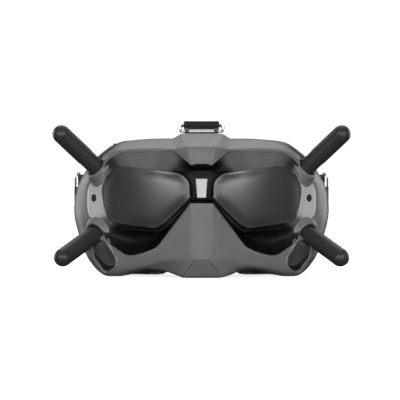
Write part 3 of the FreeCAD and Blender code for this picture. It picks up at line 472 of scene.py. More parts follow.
def cloudy(tree, noise, color, low, high):
    """The colour, drifting from low to high times its value."""
    return mixed(tree, ranged(tree, noise, 0, 1), scaled(color, low), scaled(color, high))


def uneven_gloss(tree, shader, noise, low, high):
    tree.links.new(ranged(tree, noise, low, high), shader.inputs["Roughness"])


def bump(tree, shader, height, strength, distance):
    node = tree.nodes.new("ShaderNodeBump")
    set_inputs(node, {"Strength": strength, "Distance": distance})
    tree.links.new(height, node.inputs["Height"])
    tree.links.new(node.outputs["Normal"], shader.inputs["Normal"])


def plastic(name, color, rough, grain=2600.0, depth=0.00003, strength=0.35, spread=0.07,
            specular=0.5, coat=0.0):
    """Moulded plastic: fine spark-eroded grain, slight cloudiness in colour and gloss."""
    material, tree, shader = nodes_of(name)
    cloud = noise_node(tree, 55.0, 4.0)
    tree.links.new(cloudy(tree, cloud, color, 1 - spread, 1 + spread), shader.inputs["Base Color"])
    fine = noise_node(tree, grain, 2.0, 0.6)
    uneven_gloss(tree, shader, fine, rough - 0.05, rough + 0.06)
    bump(tree, shader, fine, strength, depth)
    set_inputs(shader, {"Specular IOR Level": specular, "Coat Weight": coat, "Coat Roughness": 0.25})
    return material


def paint_and_shade_plastic(name, dark, light, rough):
    """Plastic whose colour runs from dark to light by a value stored on each vertex. The dark end is
    painted shade, near black over the recess's own dark grey; the light end is the cover's light grey
    paint, made lighter as painted light from the sides.
    """
    material, tree, shader = nodes_of(name)
    paint_and_shade_tone = tree.nodes.new("ShaderNodeAttribute")
    paint_and_shade_tone.attribute_name = "paint_and_shade_tone"
    cloud = noise_node(tree, 55.0, 4.0)
    paint = tree.nodes.new("ShaderNodeMix")
    paint.data_type = "RGBA"
    tree.links.new(paint_and_shade_tone.outputs["Fac"], paint.inputs["Factor"])
    tree.links.new(cloudy(tree, cloud, dark, 0.92, 1.08), paint.inputs["A"])
    tree.links.new(cloudy(tree, cloud, light, 0.94, 1.06), paint.inputs["B"])
    tree.links.new(paint.outputs["Result"], shader.inputs["Base Color"])
    fine = noise_node(tree, 2600.0, 2.0, 0.6)
    uneven_gloss(tree, shader, fine, rough - 0.05, rough + 0.06)
    tree.links.new(ranged(tree, paint_and_shade_tone.outputs["Fac"], 0.12, 0.5), shader.inputs["Specular IOR Level"])
    bump(tree, shader, fine, 0.35, 0.00003)
    return material


def metal(name, color, rough):
    """Metal with fine wear in its polish."""
    material, tree, shader = nodes_of(name)
    set_inputs(shader, {"Metallic": 1.0})
    cloud = noise_node(tree, 120.0, 4.0)
    tree.links.new(cloudy(tree, cloud, color, 0.9, 1.06), shader.inputs["Base Color"])
    fine = noise_node(tree, 900.0, 4.0, 0.7)
    uneven_gloss(tree, shader, fine, rough - 0.05, rough + 0.08)
    bump(tree, shader, fine, 0.12, 0.00002)
    return material


def weave(tree, place, waves, operation, distortion, detail, detail_scale):
    """Height of two crossed sets of ribs. waves holds each set's direction and scale."""
    join = tree.nodes.new("ShaderNodeMath")
    join.operation = operation
    for n, (direction, scale) in enumerate(waves):
        wave = tree.nodes.new("ShaderNodeTexWave")
        wave.bands_direction = direction
        set_inputs(wave, {"Scale": scale, "Distortion": distortion, "Detail": detail,
                          "Detail Scale": detail_scale})
        tree.links.new(place, wave.inputs["Vector"])
        tree.links.new(wave.outputs["Fac"], join.inputs[n])
    return join.outputs["Value"]


def cloth(name, color, pitch=0.0006):
    """Fine knitted cloth: crossed ribs with fibre noise and a soft sheen."""
    material, tree, shader = nodes_of(name)
    where = tree.nodes.new("ShaderNodeTexCoord")
    scale = 1.0 / (pitch * 20)
    ribs = weave(tree, where.outputs["Object"], (("X", scale), ("Z", scale)), "MULTIPLY", 1.5, 1.0, 3.0)
    cloud = noise_node(tree, 90.0, 5.0, 0.7)
    tree.links.new(cloudy(tree, cloud, color, 0.85, 1.2), shader.inputs["Base Color"])
    uneven_gloss(tree, shader, cloud, 0.82, 0.96)
    bump(tree, shader, ribs, 0.6, 0.00025)
    set_inputs(shader, {"Sheen Weight": 0.35, "Sheen Roughness": 0.5, "Specular IOR Level": 0.2})
    return material


def woven(name, color):
    """Elastic webbing: ribs along and across the band, from its own UV map in metres."""
    material, tree, shader = nodes_of(name)
    where = tree.nodes.new("ShaderNodeUVMap")
    where.uv_map = "UVMap"
    waves = [(axis, math.pi / (size * 20)) for axis, size in (("X", RIB), ("Y", RIB * 0.9))]
    ribs = weave(tree, where.outputs["UV"], waves, "MAXIMUM", 0.6, 2.0, 2.0)
    stripes = mixed(tree, ribs, scaled(color, 0.45), scaled(color, 1.5))
    tree.links.new(stripes, shader.inputs["Base Color"])
    uneven_gloss(tree, shader, noise_node(tree, 200.0, 4.0), 0.7, 0.9)
    bump(tree, shader, ribs, 0.8, 0.0003)
    set_inputs(shader, {"Sheen Weight": 0.15, "Specular IOR Level": 0.25})
    return material


def coated_glass(name, color, rough, alpha):
    """Lens glass over a dark inside: mostly seen by its reflections, with a faint uneven film."""
    material, tree, shader = nodes_of(name)
    set_inputs(shader, {"Base Color": (*color, 1), "IOR": 1.49, "Alpha": alpha})
    uneven_gloss(tree, shader, noise_node(tree, 30.0, 3.0), rough, rough + 0.05)
    return material


HOUSING = plastic("housing_grey", (0.176, 0.176, 0.186), 0.46)
HOUSING_REAR = plastic("housing_rear", (0.05, 0.05, 0.054), 0.5)
# the cover's paint: near black in the recess is painted shade, and the extra light grey on the ears is
# painted light
COVER_PAINT_AND_SHADE = paint_and_shade_plastic("cover_paint_and_shade", (0.004, 0.004, 0.0045), (0.55, 0.55, 0.57), 0.46)
PANEL_DARK = plastic("eye_panel_dark", (0.036, 0.036, 0.038), 0.4, grain=1700.0, depth=0.00005,
                     strength=0.5, spread=0.12, specular=1.0)
# light grey on the bridge is a painted highlight: the facet is dark plastic that reflects the light
# from above the camera
BRIDGE_PAINTED_HIGHLIGHT = plastic("bridge_painted_highlight", (0.66, 0.66, 0.68), 0.35)
ANTENNA = plastic("antenna_black", (0.029, 0.029, 0.032), 0.45, strength=0.15, spread=0.1)
# black plastic, also used as painted shade on the intake pockets' walls and the IPD sliders
BLACK_AND_PAINTED_SHADE = plastic("inner_black_and_painted_shade", (0.012, 0.012, 0.013), 0.55)
BUTTON = plastic("button_grey", (0.06, 0.06, 0.065), 0.4)
GRILLE = plastic("grille_grey", (0.1, 0.1, 0.105), 0.5)
ACCENT = plastic("button_red", (0.42, 0.035, 0.03), 0.4)
STEEL = metal("polished_steel", (0.8, 0.8, 0.81), 0.42)
SATIN = metal("satin_steel", (0.45, 0.45, 0.46), 0.34)
SCREW = plastic("black_screw", (0.03, 0.03, 0.032), 0.3, strength=0.1, specular=1.0)
ALUMINIUM = metal("sink_aluminium", (0.55, 0.55, 0.57), 0.4)
BOARD = plastic("board_green", (0.012, 0.07, 0.035), 0.35, spread=0.25)
FOAM = cloth("foam_cloth", (0.022, 0.022, 0.024))
PAD = cloth("pad_cloth", (0.03, 0.03, 0.033), pitch=0.0009)
WEBBING = woven("webbing_black", (0.015, 0.015, 0.017))
THREAD = plastic("thread_grey", (0.09, 0.09, 0.095), 0.7)
LENS = coated_glass("eye_lens", (0.03, 0.034, 0.045), 0.06, 0.6)
SCREEN = plastic("display_dark", (0.01, 0.012, 0.018), 0.7, specular=0.05)
DIGITS = plastic("digit_window", (0.01, 0.008, 0.008), 0.15, strength=0.02, coat=0.6)


def hand_over(obj, node=None):
    """The piece rides on the housing, and may stand for a CAD node, which it hides."""
    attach(obj, "root")
    if node:
        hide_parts(node)


# ---- housings ----
REAR_COLUMNS = {1: 0.55, 2: 0.5}     # creases that run front to back beside the hump
LIP = 1.6                            # turned-in edge at the front and rear of each housing
SKIN = 0.5                           # wall behind the visible surface
BORE_R = 8.2                         # surface taken away under each antenna collar
INTAKE_SIZE = (19.5, 15.6)
INTAKE_CORNER = 5.8
CHANNEL_HOLES = ((86.9, 3.4, 63.6), (88.3, 3.4, 58.2))
DIGIT_HOLE = (89.2, 3.4, 51.4)
SIDE_HOLE_R = 2.4
TOP_HOLES = ((-39.0, 4.2), (-50.0, 4.2), (50.0, 2.7), (-61.0, 4.2))     # X and radius
TOP_HOLE_Y = 16.5
CAP_SEAM = (0.1, 0.12)               # the chin cap's gap, on the housing's side and on its own

# how light the cover's paint is, by position in the half loop: 1 on the ears, where the extra lightness
# is painted light; low values on the top wall and 0 in the recess and under the brow, which are painted
# shade
COVER_LIGHT_AND_SHADE_TONES = {2: 0.19, 3: 0.24, 4: 0.24, 5: 0.2, 6: 0.04, 7: 0.3, 8: 1, 9: 1, 10: 1, 11: 1, 12: 0.15}


def at_mount(level, side):
    (x, y, z), (dx, dy, dz) = MOUNTS[level]
    return Vector((side * x, y, z)), Vector((side * dx, dy, dz)).normalized()


def each_mount():
    return [(level, name, side) for level in MOUNTS for name, side in SIDES.items()]


def intake_frame(side):
    centre = Vector((side * 67.9, -23.9, 14.2))
    out = Vector((side * 0.42, -0.74, -0.52)).normalized()
    return centre, out, Vector((side * -0.62, 0.0, -0.785))


def rest_on_floor(obj):
    points = coordinates(obj.data)
    points[:, 2] = np.maximum(points[:, 2], 0)
    set_coordinates(obj.data, points)


def thicken(obj):
    """Thin wall on the inner side, so that openings can be cut in the surface."""
    rest_on_floor(obj)
    centre = sum((to_model(v.co) for v in obj.data.vertices), Vector()) / len(obj.data.vertices)
    outward = sum((p.normal.dot(to_model(p.center) - centre) > 0) for p in obj.data.polygons)
    if outward * 2 < len(obj.data.polygons):
        obj.data.flip_normals()
    mod = obj.modifiers.new("wall", "SOLIDIFY")
    mod.thickness = SKIN * MM
    mod.offset = -1.0
    bake_modifiers(obj)
    even_normals(obj, closed=True)
    return obj


def intake_outline(grow=0.0):
    length, width = INTAKE_SIZE
    return rounded_rectangle(length + 2 * grow, width + 2 * grow, INTAKE_CORNER + grow)


def make_front_shell():
    outer = [full_loop(half) for half in (RIM, CREASE, SHOULDER, SIDE, SEAM)]
    outer[-1] = [p - Vector((0, SEAM_GAP, 0)) for p in outer[-1]]
    inner = offset_loops(outer, LIP)
    for p, q in zip(inner[-1], outer[-1]):
        p.y = q.y
    loops = [inner[0]] + outer + [inner[-1]]

    def crease_row(k):
        i = half_index(k)
        return 0.05 if 7 <= i <= 12 else 0.5

    def shoulder_row(k):
        i = half_index(k)
        return 0.55 if i >= 17 or i <= 1 else (0.3 if i in (13, 14, 15, 16) else 0.0)

    def side_row(k):
        i = half_index(k)
        return 0.5 if i >= 17 or i <= 1 else 0.15

    def columns(i, k):
        position = half_index(k)
        if i < 4:
            return {1: 0.45, 2: 0.45, 13: 0.3, 16: 0.3, 18: 0.45, 19: 0.45}.get(position, 0.0)
        return {1: 0.5, 2: 0.5, 18: 0.5, 19: 0.5}.get(position, 0.0)

    creases = {2: crease_row, 3: shoulder_row, 4: side_row}
    return thicken(ring_piece("front_housing", loops, creases, columns, hard={1: 0.4, 5: 0.3}))


def housing_cutters():
    cutters = []
    for side in SIDES.values():
        centre, out, long_way = intake_frame(side)
        cutters.append(prism("cutter", intake_outline(), centre, out, long_way, -6, 18))
    side_out = Vector((0.96, -0.27, 0.06)).normalized()
    openings = [(circle(SIDE_HOLE_R), place) for place in CHANNEL_HOLES]
    for outline, place in openings + [(rounded_rectangle(9.0, 5.4, 0.8), DIGIT_HOLE)]:
        cutters.append(prism("cutter", outline, place, side_out, (0, 0, 1), -5, 5))
    return cutters


def open_bores(obj):
    """Takes away the faces under each antenna collar, which covers the edge of the opening."""
    bm = bmesh.new()
    bm.from_mesh(obj.data)
    inside = []
    mounts = [at_mount(level, side) for level, _, side in each_mount()]
    for face in bm.faces:
        middle = to_model(face.calc_center_median())
        for mouth, axis in mounts:
            away = middle - mouth
            height = away.dot(axis)
            if -16 < height < 12 and (away - axis * height).length < BORE_R:
                inside.append(face)
                break
    bmesh.ops.delete(bm, geom=inside, context="FACES")
    bm.to_mesh(obj.data)
    bm.free()


def chin_block(grow):
    """Wedge that splits the chin cap off the front housing."""
    edge = [(4.8, 12.6 + grow), (19.2, -8.0), (-19.2, -8.0), (-4.8, 12.6 + grow)]
    edge = [(x + (grow if x > 0 else -grow), z) for x, z in edge]
    points = [(x, -75, z) for x, z in edge] + [(x, -36 + grow, z) for x, z in edge]
    faces = [(0, 1, 2, 3), (7, 6, 5, 4)] + [(k, k + 4, (k + 1) % 4 + 4, (k + 1) % 4) for k in range(4)]
    obj = raw_piece("chin_block", points, faces)
    even_normals(obj, closed=True)
    return obj


def make_rear_shell():
    outer = [full_loop(half) for half in (SEAM, BACK, FACE)]
    outer[0] = [p + Vector((0, SEAM_GAP + 0.25, 0)) for p in outer[0]]
    inner = offset_loops(outer, LIP)
    for p, q in zip(inner[0], outer[0]):
        p.y = q.y
    loops = [inner[0]] + outer + [inner[-1]]

    def columns(i, k):
        return REAR_COLUMNS.get(half_index(k), 0.0)

    return thicken(ring_piece("rear_housing", loops, {2: 0.2}, columns, hard={1: 0.35, 3: 0.6}))


def rear_cutters():
    cutters = []
    for x, r in TOP_HOLES:
        cutters.append(prism("cutter", circle(r), (x, TOP_HOLE_Y, 82), (0, 0, 1), (1, 0, 0), 0, 30))
    slot = rounded_rectangle(9.0, 1.8, 0.85, 4)
    for n in range(3):
        for side in (1, -1):
            place = (side * 28, 12.9 + 4.0 * n, 90)
            cutters.append(prism("cutter", slot, place, (0, 0, 1), (1, 0, 0), 0, 14))
    window = rounded_rectangle(20.0, 8.0, 1.5)
    cutters.append(prism("cutter", window, (86.6, 27.5, 33.0), (0.975, 0.2, -0.1), (0, 1, 0), -7, 6))
    return cutters


def make_cover():
    rim = []
    for p in full_loop(RIM):
        aim = 0 if abs(p.x) <= 8 else (38 if p.x > 0 else -38)
        inward = Vector((aim - p.x, 0, EYE_Z - p.z)).normalized()
        rim.append(p + inward * 0.42)
    half_way = [tuple((p + Vector(q)) * 0.5) for p, q in zip(rim, SEAT)]
    valley = full_loop([VALLEY.get(n, p) for n, p in enumerate(half_way)])
    seat = full_loop(SEAT)
    rim_back = [p + Vector((0, 2.0, 0)) for p in rim]
    seat_back = [p + Vector((0, 1.0, 0)) for p in seat]

    def caps(rows, count):
        base = (rows - 1) * count
        right = [base + n for n in range(1, TIP)]
        left = [base + (count - n) for n in range(1, TIP)]
        middle = [base + count - 1, base, base + 1, base + TIP - 1, base + TIP, base + TIP + 1]
        return [tuple(right), tuple(reversed(left)), tuple(middle)]

    def valley_row(k):
        return {0: 0.3, 1: 0.3, 18: 0.4, 19: 0.4, 20: 0.4}.get(half_index(k), 0.1)

    def columns(i, k):
        return {1: 0.4, 2: 0.5, 18: 0.3}.get(half_index(k), 0.0) if 2 <= i <= 5 else 0.0

    loops = [rim_back, rim, valley, seat, seat_back]
    obj = ring_piece("front_cover_skin", loops, {2: valley_row}, columns,
                     hard={1: 0.35, 3: 0.35}, cap=caps)
    thicken(obj)
    for side in SIDES.values():
        place, screw_out = (side * 75.8, -19.4, 54.9), (side * 0.66, -0.75, 0)
        cut(obj, [prism("cutter", circle(2.65, 32), place, screw_out, (0, 0, 1), -2.2, 4)])
    open_bores(obj)
    paint_cover_light_and_shade(obj, rim)
    return obj


def paint_cover_light_and_shade(obj, rim):
    """Stores a paint value on each vertex: light on the ears, as painted light, and darker on the top
    wall and near black in the recess, as painted shade.
    """
    def turn(p, side):
        return math.atan2(p.z - EYE_Z, (p.x - side * 38) * side)

    spots = [(q, COVER_LIGHT_AND_SHADE_TONES.get(half_index(k), 0.0)) for k, q in enumerate(rim)]
    values = []
    for v in obj.data.vertices:
        p = to_model(v.co)
        side = 1 if p.x >= 0 else -1
        here = turn(p, side)
        total = weights = 0.0
        for q, paint_and_shade_tone in spots:
            if q.x * side >= -0.1:
                gap = abs((here - turn(q, side) + math.pi) % (2 * math.pi) - math.pi)
                weight = 1.0 / (gap ** 3 + 0.0006)
                total += weight * paint_and_shade_tone
                weights += weight
        values.append(total / weights)
    obj.data.attributes.new("paint_and_shade_tone", "FLOAT", "POINT").data.foreach_set("value", values)


def depth_fit(points):
    """Quadratic depth over X and Z that comes nearest to the given points."""
    table = [[1, p.x, p.z, p.x * p.x, p.x * p.z, p.z * p.z] for p in points]
    k = np.linalg.lstsq(np.array(table), np.array([p.y for p in points]), rcond=None)[0]
    return lambda x, z: float(k @ np.array([1, x, z, x * x, x * z, z * z]))


def settle_face(obj, rim, depth):
    """Moves a plate's front face on to one smooth surface that follows the rim at its edge."""
    mesh = obj.data
    shift = np.array([0, SHIFT_Y, 0])
    points = (coordinates(mesh) - shift) / MM
    dense = []
    for p, q in zip(rim, rim[1:] + rim[:1]):
        dense += [p.lerp(q, k / 8) for k in range(8)]
    places = np.array([[p.x, p.z] for p in dense])
    left_over = np.array([p.y - depth(p.x, p.z) for p in dense])
    for n, (x, y, z) in enumerate(points):
        away = np.linalg.norm(places - np.array([x, z]), axis=1)
        near = away.min()
        if near < 0.3 or y > depth(x, z) + 1.0 + abs(left_over).max():
            continue
        weight = 1 / (away ** 3 + 0.02)
        rest = float(weight @ left_over / weight.sum()) * math.exp(-near / 6)
        face = depth(x, z) + rest - 0.9 * (1 - math.exp(-(near / 4) ** 2))
        share = min(1.0, (near - 0.3) / 1.4)
        points[n, 1] = y + (face - y) * share * share * (3 - 2 * share)
    set_coordinates(mesh, points * MM + shift)


def make_panel(name, side):
    """Crowned eye panel with a rounded edge."""
    rim = [Vector(p) for p in PANEL]
    middle = Vector((38, -49.0, 56))
    depth = depth_fit(rim + [middle] * 4)
    rows = [[p + Vector((0, 1.5, 0)) for p in rim], rim]
    for s in (0.03, 0.12, 0.3, 0.5, 0.7, 0.88):
        row = []
        for p in rim:
            x, z = p.x + (middle.x - p.x) * s, p.z + (middle.z - p.z) * s
            left_over = (p.y - depth(p.x, p.z)) * (1 - s) ** 2
            row.append(Vector((x, depth(x, z) + left_over - 0.7 * (1 - (1 - s) ** 3), z)))
        rows.append(row)
    if side < 0:
        rows = [[Vector((-p.x, p.y, p.z)) for p in row] for row in rows]

    def cap(total, count):
        return [tuple(range((total - 1) * count, total * count))]

    obj = ring_piece(name, rows, {}, hard={1: 0.4}, cap=cap)
    settle_face(obj, rows[1], lambda x, z: depth(side * x, z))
    obj.data.materials.append(PANEL_DARK)
    return smooth(obj, 60)


front = make_front_shell()
rear = make_rear_shell()
cover = make_cover()
solid_surfaces = tree_of([front, cover])

# the chin cap is cut off before the other openings, so that its seam follows the finished surface
chin = new_object("chin_cap_skin", front.data.copy())
boolean(chin, chin_block(-CAP_SEAM[1]), "INTERSECT")
boolean(front, chin_block(CAP_SEAM[0]), "DIFFERENCE")
for block in [o for o in bpy.data.objects if o.name.startswith("chin_block")]:
    bpy.data.objects.remove(block)
cut(front, housing_cutters())
cut(rear, rear_cutters())
open_bores(front)

for obj, material, node, slot in (
    (front, HOUSING, "front_shell", "housing_light"), (chin, HOUSING, "chin_cap", "housing_light"),
    (rear, HOUSING_REAR, "rear_shell", "housing_dark"), (cover, COVER_PAINT_AND_SHADE, "front_cover", "cover_plastic"),
):
    rest_on_floor(obj)
    hand_over(dressed(obj, material, 38), node)
for name, side in SIDES.items():
    hand_over(make_panel("eye_panel_skin_" + name, side), "eye_panel_" + name)


# ---- antenna collars and intake bezels ----
def surface_ring(places, axis, missing):
    """Heights along the axis at which rays from outside meet the housing."""
    heights = []
    for place in places:
        hit = solid_surfaces.ray_cast(place + axis * 16.0, -axis, 34.0)[0]
        heights.append(missing if hit is None else (hit - place).dot(axis))
    return heights


def evened(ring, times):
    """A closed row of heights, each averaged with its neighbours."""
    for _ in range(times):
        ring = [(ring[k - 1] + 2 * ring[k] + ring[(k + 1) % len(ring)]) / 4 for k in range(len(ring))]
    return ring


def make_collar(name, level, side):
    """Raised mouth round an antenna bore, faired into the housing."""
    mouth, z = at_mount(level, side)
    x = z.orthogonal().normalized()
    y = z.cross(x)
    spokes = [x * u + y * v for u, v in circle(1.0)]
    inside = ((6.95, -9.0), (6.95, -1.0), (7.15, -0.25), (7.7, 0.0), (8.3, 0.0), (9.0, -0.35),
              (9.4, -1.2))
    flare = ((9.4, 2.2), (9.6, 1.1), (10.1, 0.42), (10.8, 0.02), (11.2, -0.6))
    points = [mouth + spoke * radius + z * h for radius, h in inside for spoke in spokes]
    for radius, rise in flare:
        places = [mouth + spoke * radius for spoke in spokes]
        heights = [max(-8.0, min(h, -0.6)) for h in surface_ring(places, z, -8.0)]
        for place, h in zip(places, evened(heights, 6)):
            points.append(place + z * min(h + rise, -1.3))
    obj = raw_piece(name, points, tube_faces(len(inside) + len(flare), len(spokes)), HOUSING)
    even_normals(obj)
    return round_off(obj)


for level, name, side in each_mount():
    hand_over(make_collar(f"antenna_collar_{level}_{name}", level, side))


def make_bezel(name, side):
    """Raised rim round an air intake, with the pocket's wall behind it; the wall is painted black as
    painted shade in the recess.
    """
    centre, z, long_way = intake_frame(side)
    x = (long_way - z * long_way.dot(z)).normalized()
    y = z.cross(x)
    rings = [(2.6, -0.6), (1.9, 0.2), (1.2, 0.7), (0.5, 0.8), (0.0, 0.1), (-0.05, None)]
    count = len(intake_outline())
    points = []
    for grow, up in rings:
        places = [centre + x * u + y * v for u, v in intake_outline(grow)]
        for place, h in zip(places, evened(surface_ring(places, z, -3.0), 3)):
            points.append(place + z * (-6.0 if up is None else h + up))
    obj = raw_piece(name, points, tube_faces(len(rings), count), HOUSING)
    # the pocket's wall is painted black: painted shade inside the recess
    obj.data.materials.append(BLACK_AND_PAINTED_SHADE)
    for polygon in obj.data.polygons[-count:]:
        polygon.material_index = 1
    even_normals(obj)
    return round_off(obj)


for name, side in SIDES.items():
    hand_over(make_bezel("intake_bezel_" + name, side))


# ---- bridge ----
# the wedge's light grey colour is a painted highlight standing for the reflection on the facet
def make_bridge():
    front_face = [(-4.0, -54.8, 68), (4.0, -54.8, 68), (3.0, -57.3, 55), (-3.0, -57.3, 55)]
    points = [Vector(p) for p in front_face] + [Vector(p) + Vector((0, 1.1, 0)) for p in front_face]
    faces = [(0, 3, 2, 1), (4, 5, 6, 7)] + tube_faces(2, 4)
    obj = raw_piece("bridge_wedge", points, faces, BRIDGE_PAINTED_HIGHLIGHT)
    even_normals(obj)
    mod = obj.modifiers.new("edge", "BEVEL")
    mod.width = 0.0005
    mod.segments = 3
    bake_modifiers(obj)
    return smooth(obj, 40)


hand_over(make_bridge(), "bridge_trim")


# ---- straps ----
BAR_R, FIT, STRAP_W, STRAP_T = 1.2, 0.3, 25.0, 1.6
LOOP_R = BAR_R + FIT + STRAP_T / 2
RING_SHORT = 14.0
SIDE_RING_PIVOT = (89.4, 25.0, 57.6)
TOP_RING_PIVOT = (0, -12.0, 101.9)
TOP_RING_RISE = 4.6

# outer runs of the straps, as the way back and the distance out of each point
SIDE_STRAP = [(50, 91.6), (70, 90), (95, 86.5), (121, 79), (146, 66), (165, 50), (176.2, 38),
              (180, 28), (180, 4)]
TOP_STRAP = [(20, 108.6), (45, 107), (80, 102.5), (115, 96.6), (145, 90.8), (166, 87.4),
             (176, 86.6), (180.5, 83.4), (180.3, 77), (180, 71)]
TURN_STEPS = 12
STITCH = 2.2                         # spacing along a seam


def smooth_path(points, steps):
    ends = [points[0] * 2 - points[1]] + points + [points[-1] * 2 - points[-2]]
    out = []
    for n in range(len(points) - 1):
        a, b, c, d = ends[n:n + 4]
        for k in range(steps):
            t = k / steps
            out.append((b * 2 + (c - a) * t + (a * 2 - b * 5 + c * 4 - d) * (t * t)
                        + (b * 3 - a - c * 3 + d) * (t * t * t)) * 0.5)
    return out + [points[-1]]


def turn_points(bar_y, bar_out):
    """Half circle round the ring's bar, from its inner to its outer side."""
    angles = [math.pi * n / TURN_STEPS for n in range(1, TURN_STEPS)]
    return [(bar_y - LOOP_R * math.sin(a), bar_out - LOOP_R * math.cos(a)) for a in angles]


def band(name, path, width_axis, material):
    """Webbing along a path: rounded selvedges, a UV map in metres along and across it."""
    width = Vector(width_axis).normalized()
    half, thick = STRAP_W / 2, STRAP_T / 2
    section = [(-half + 0.5, -thick), (0, -thick * 0.92), (half - 0.5, -thick), (half, -thick * 0.4),
               (half, thick * 0.4), (half - 0.5, thick), (0, thick * 0.92), (-half + 0.5, thick),
               (-half, thick * 0.4), (-half, -thick * 0.4)]
    points, along = [], []
    run = 0.0
    for n, p in enumerate(path):
        ahead = path[min(n + 1, len(path) - 1)] - path[max(n - 1, 0)]
        up = width.cross(ahead).normalized()
        if n:
            run += (p - path[n - 1]).length
        along.append(run)
        points += [p + width * u + up * v for u, v in section]
    m = len(section)
    obj = raw_piece(name, points, tube_faces(len(path), m) + end_caps(len(path), m), material)
    mesh = obj.data
    uv = mesh.uv_layers.new(name="UVMap")
    for poly in mesh.polygons:
        for loop in poly.loop_indices:
            v = mesh.loops[loop].vertex_index
            uv.data[loop].uv = (along[v // m] * MM, section[v % m][0] * MM)
    even_normals(obj)
    return smooth(obj, 50)


def stitches(points, faces, start, end, up):
    """Row of thread stitches between two points, standing on the webbing."""
    length = (end - start).length
    count = max(2, int(length / STITCH))
    ahead = (end - start).normalized()
    aside = up.cross(ahead).normalized()
    half = STITCH * 0.36
    for n in range(count):
        centre = start + ahead * (length * (n + 0.5) / count) + up * (STRAP_T / 2)
        faces += tube_faces(4, 4, len(points))
        for s, w, h in ((-1, 0.1, -0.12), (-0.5, 0.26, 0.1), (0.5, 0.26, 0.1), (1, 0.1, -0.12)):
            for du, dv in ((-w, -0.15), (w, -0.15), (w * 0.6, h + 0.1), (-w * 0.6, h + 0.1)):
                points.append(centre + ahead * (half * s) + aside * du + up * dv)


def bar_of(name):
    """Middle of the ring's bar that a strap is looped round."""
    if name == "top":
        run = (RING_SHORT ** 2 - TOP_RING_RISE ** 2) ** 0.5
        return Vector(TOP_RING_PIVOT) + Vector((0, run, TOP_RING_RISE))
    x, y, z = SIDE_RING_PIVOT
    return Vector((SIDES[name] * x, y + RING_SHORT, z))


def strap_points(name):
    """Middle line of a strap: the sewn tail, the turn round the bar, and the long outer run."""
    bar = bar_of(name)
    if name == "top":
        out, tail, outer = bar.z, [(21, -0.2), (13, 0.1)], TOP_STRAP
    else:
        out, tail, outer = SIDE_RING_PIVOT[0], [(20, -0.2), (13, 0.15)], SIDE_STRAP
    tail = [(bar.y + y, out + x) for y, x in tail + [(6, 1.0 - LOOP_R), (0, -LOOP_R)]]
    rows = []
    for row in (tail, turn_points(bar.y, out), [(bar.y, out + LOOP_R)] + outer):
        if name == "top":
            rows.append([Vector((0, y, z)) for y, z in row])
        else:
            rows.append([Vector((SIDES[name] * x, y, bar.z)) for y, x in row])
    return smooth_path(rows[0], 5) + rows[1] + smooth_path(rows[2], 7)


def point_at(path, value):
    """First point of the strap's outer run past a given Y."""
    for p in path[30:]:
        if p.y >= value:
            return p
    return path[-1]


def make_strap(name):
    path = strap_points(name)
    width = Vector((1, 0, 0)) if name == "top" else Vector((0, 0, 1))
    obj = band(f"{name}_webbing", path, width, WEBBING)
    bar_y = bar_of(name).y
    points, faces = [], []
    near, far = point_at(path, bar_y + 6.5), point_at(path, bar_y + 18.5)
    ahead = (far - near).normalized()
    up = width.cross(ahead).normalized()
    outside = Vector((0, 0, 1)) if name == "top" else Vector((SIDES[name], 0, 0))
    if up.dot(outside) < 0:
        up = -up
    reach = STRAP_W / 2 - 2.2
    corners = [near + width * reach, far + width * reach, far - width * reach, near - width * reach]
    for a, b in ((0, 1), (1, 2), (2, 3), (3, 0), (0, 2), (1, 3)):
        stitches(points, faces, corners[a], corners[b], up)
    thread = raw_piece(f"{name}_strap_thread", points, faces, THREAD)
    even_normals(thread)
    return obj, smooth(thread, 60)


for name, body, node in (
    ("top", "top_ring", "top_strap"), ("left", "side_ring_left", "side_strap_left"),
    ("right", "side_ring_right", "side_strap_right"),
):
    strap, thread = make_strap(name)
    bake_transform(strap)
    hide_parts(node)
    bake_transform(thread)


# ---- foam pad and back pad ----
def scaled_loop(loop, kx, kz, dy):
    return [Vector((p.x * kx, p.y + dy, max(EYE_Z + (p.z - EYE_Z) * kz, 0.5))) for p in loop]


PUFF_FRAMES = 20


def swell(obj, voxel, cap):
    """Short cloth simulation that puffs a pad up, with each point's move capped."""
    mod = obj.modifiers.new("grid", "REMESH")
    mod.mode = "VOXEL"
    mod.voxel_size = voxel
    bake_modifiers(obj)
    start = coordinates(obj.data)
    scene = bpy.context.scene
    sim = obj.modifiers.new("puff", "CLOTH")
    sim.settings.use_pressure = True
    sim.settings.uniform_pressure_force = 3.0
    sim.settings.effector_weights.gravity = 0.0
    sim.settings.quality = 6
    for n in range(PUFF_FRAMES):
        scene.frame_set(n + 1)
    move = shown_coordinates(obj) - start
    obj.modifiers.clear()
    scene.frame_set(1)
    length = np.linalg.norm(move, axis=1, keepdims=True)
    move *= np.minimum(1.0, cap / np.maximum(length, 1e-9))
    set_coordinates(obj.data, start + move)
    mod = obj.modifiers.new("fine", "SUBSURF")
    mod.levels = mod.render_levels = 1
    return bake_modifiers(obj)


def make_foam():
    profile = (
        (0.978, 0.975, 1.2), (0.975, 0.972, 6.5), (0.955, 0.945, 10.8), (0.905, 0.86, 11.6),
        (0.855, 0.765, 10.6), (0.825, 0.71, 6.0), (0.815, 0.69, -1.6), (0.90, 0.85, 0.2),
    )
    loops = [scaled_loop(full_loop(FACE), *row) for row in profile]
    obj = ring_piece("face_foam", loops, {}, wrap=True, levels=2, through=False)
    swell(obj, 0.0028, 0.0009)
    return dressed(obj, FOAM)


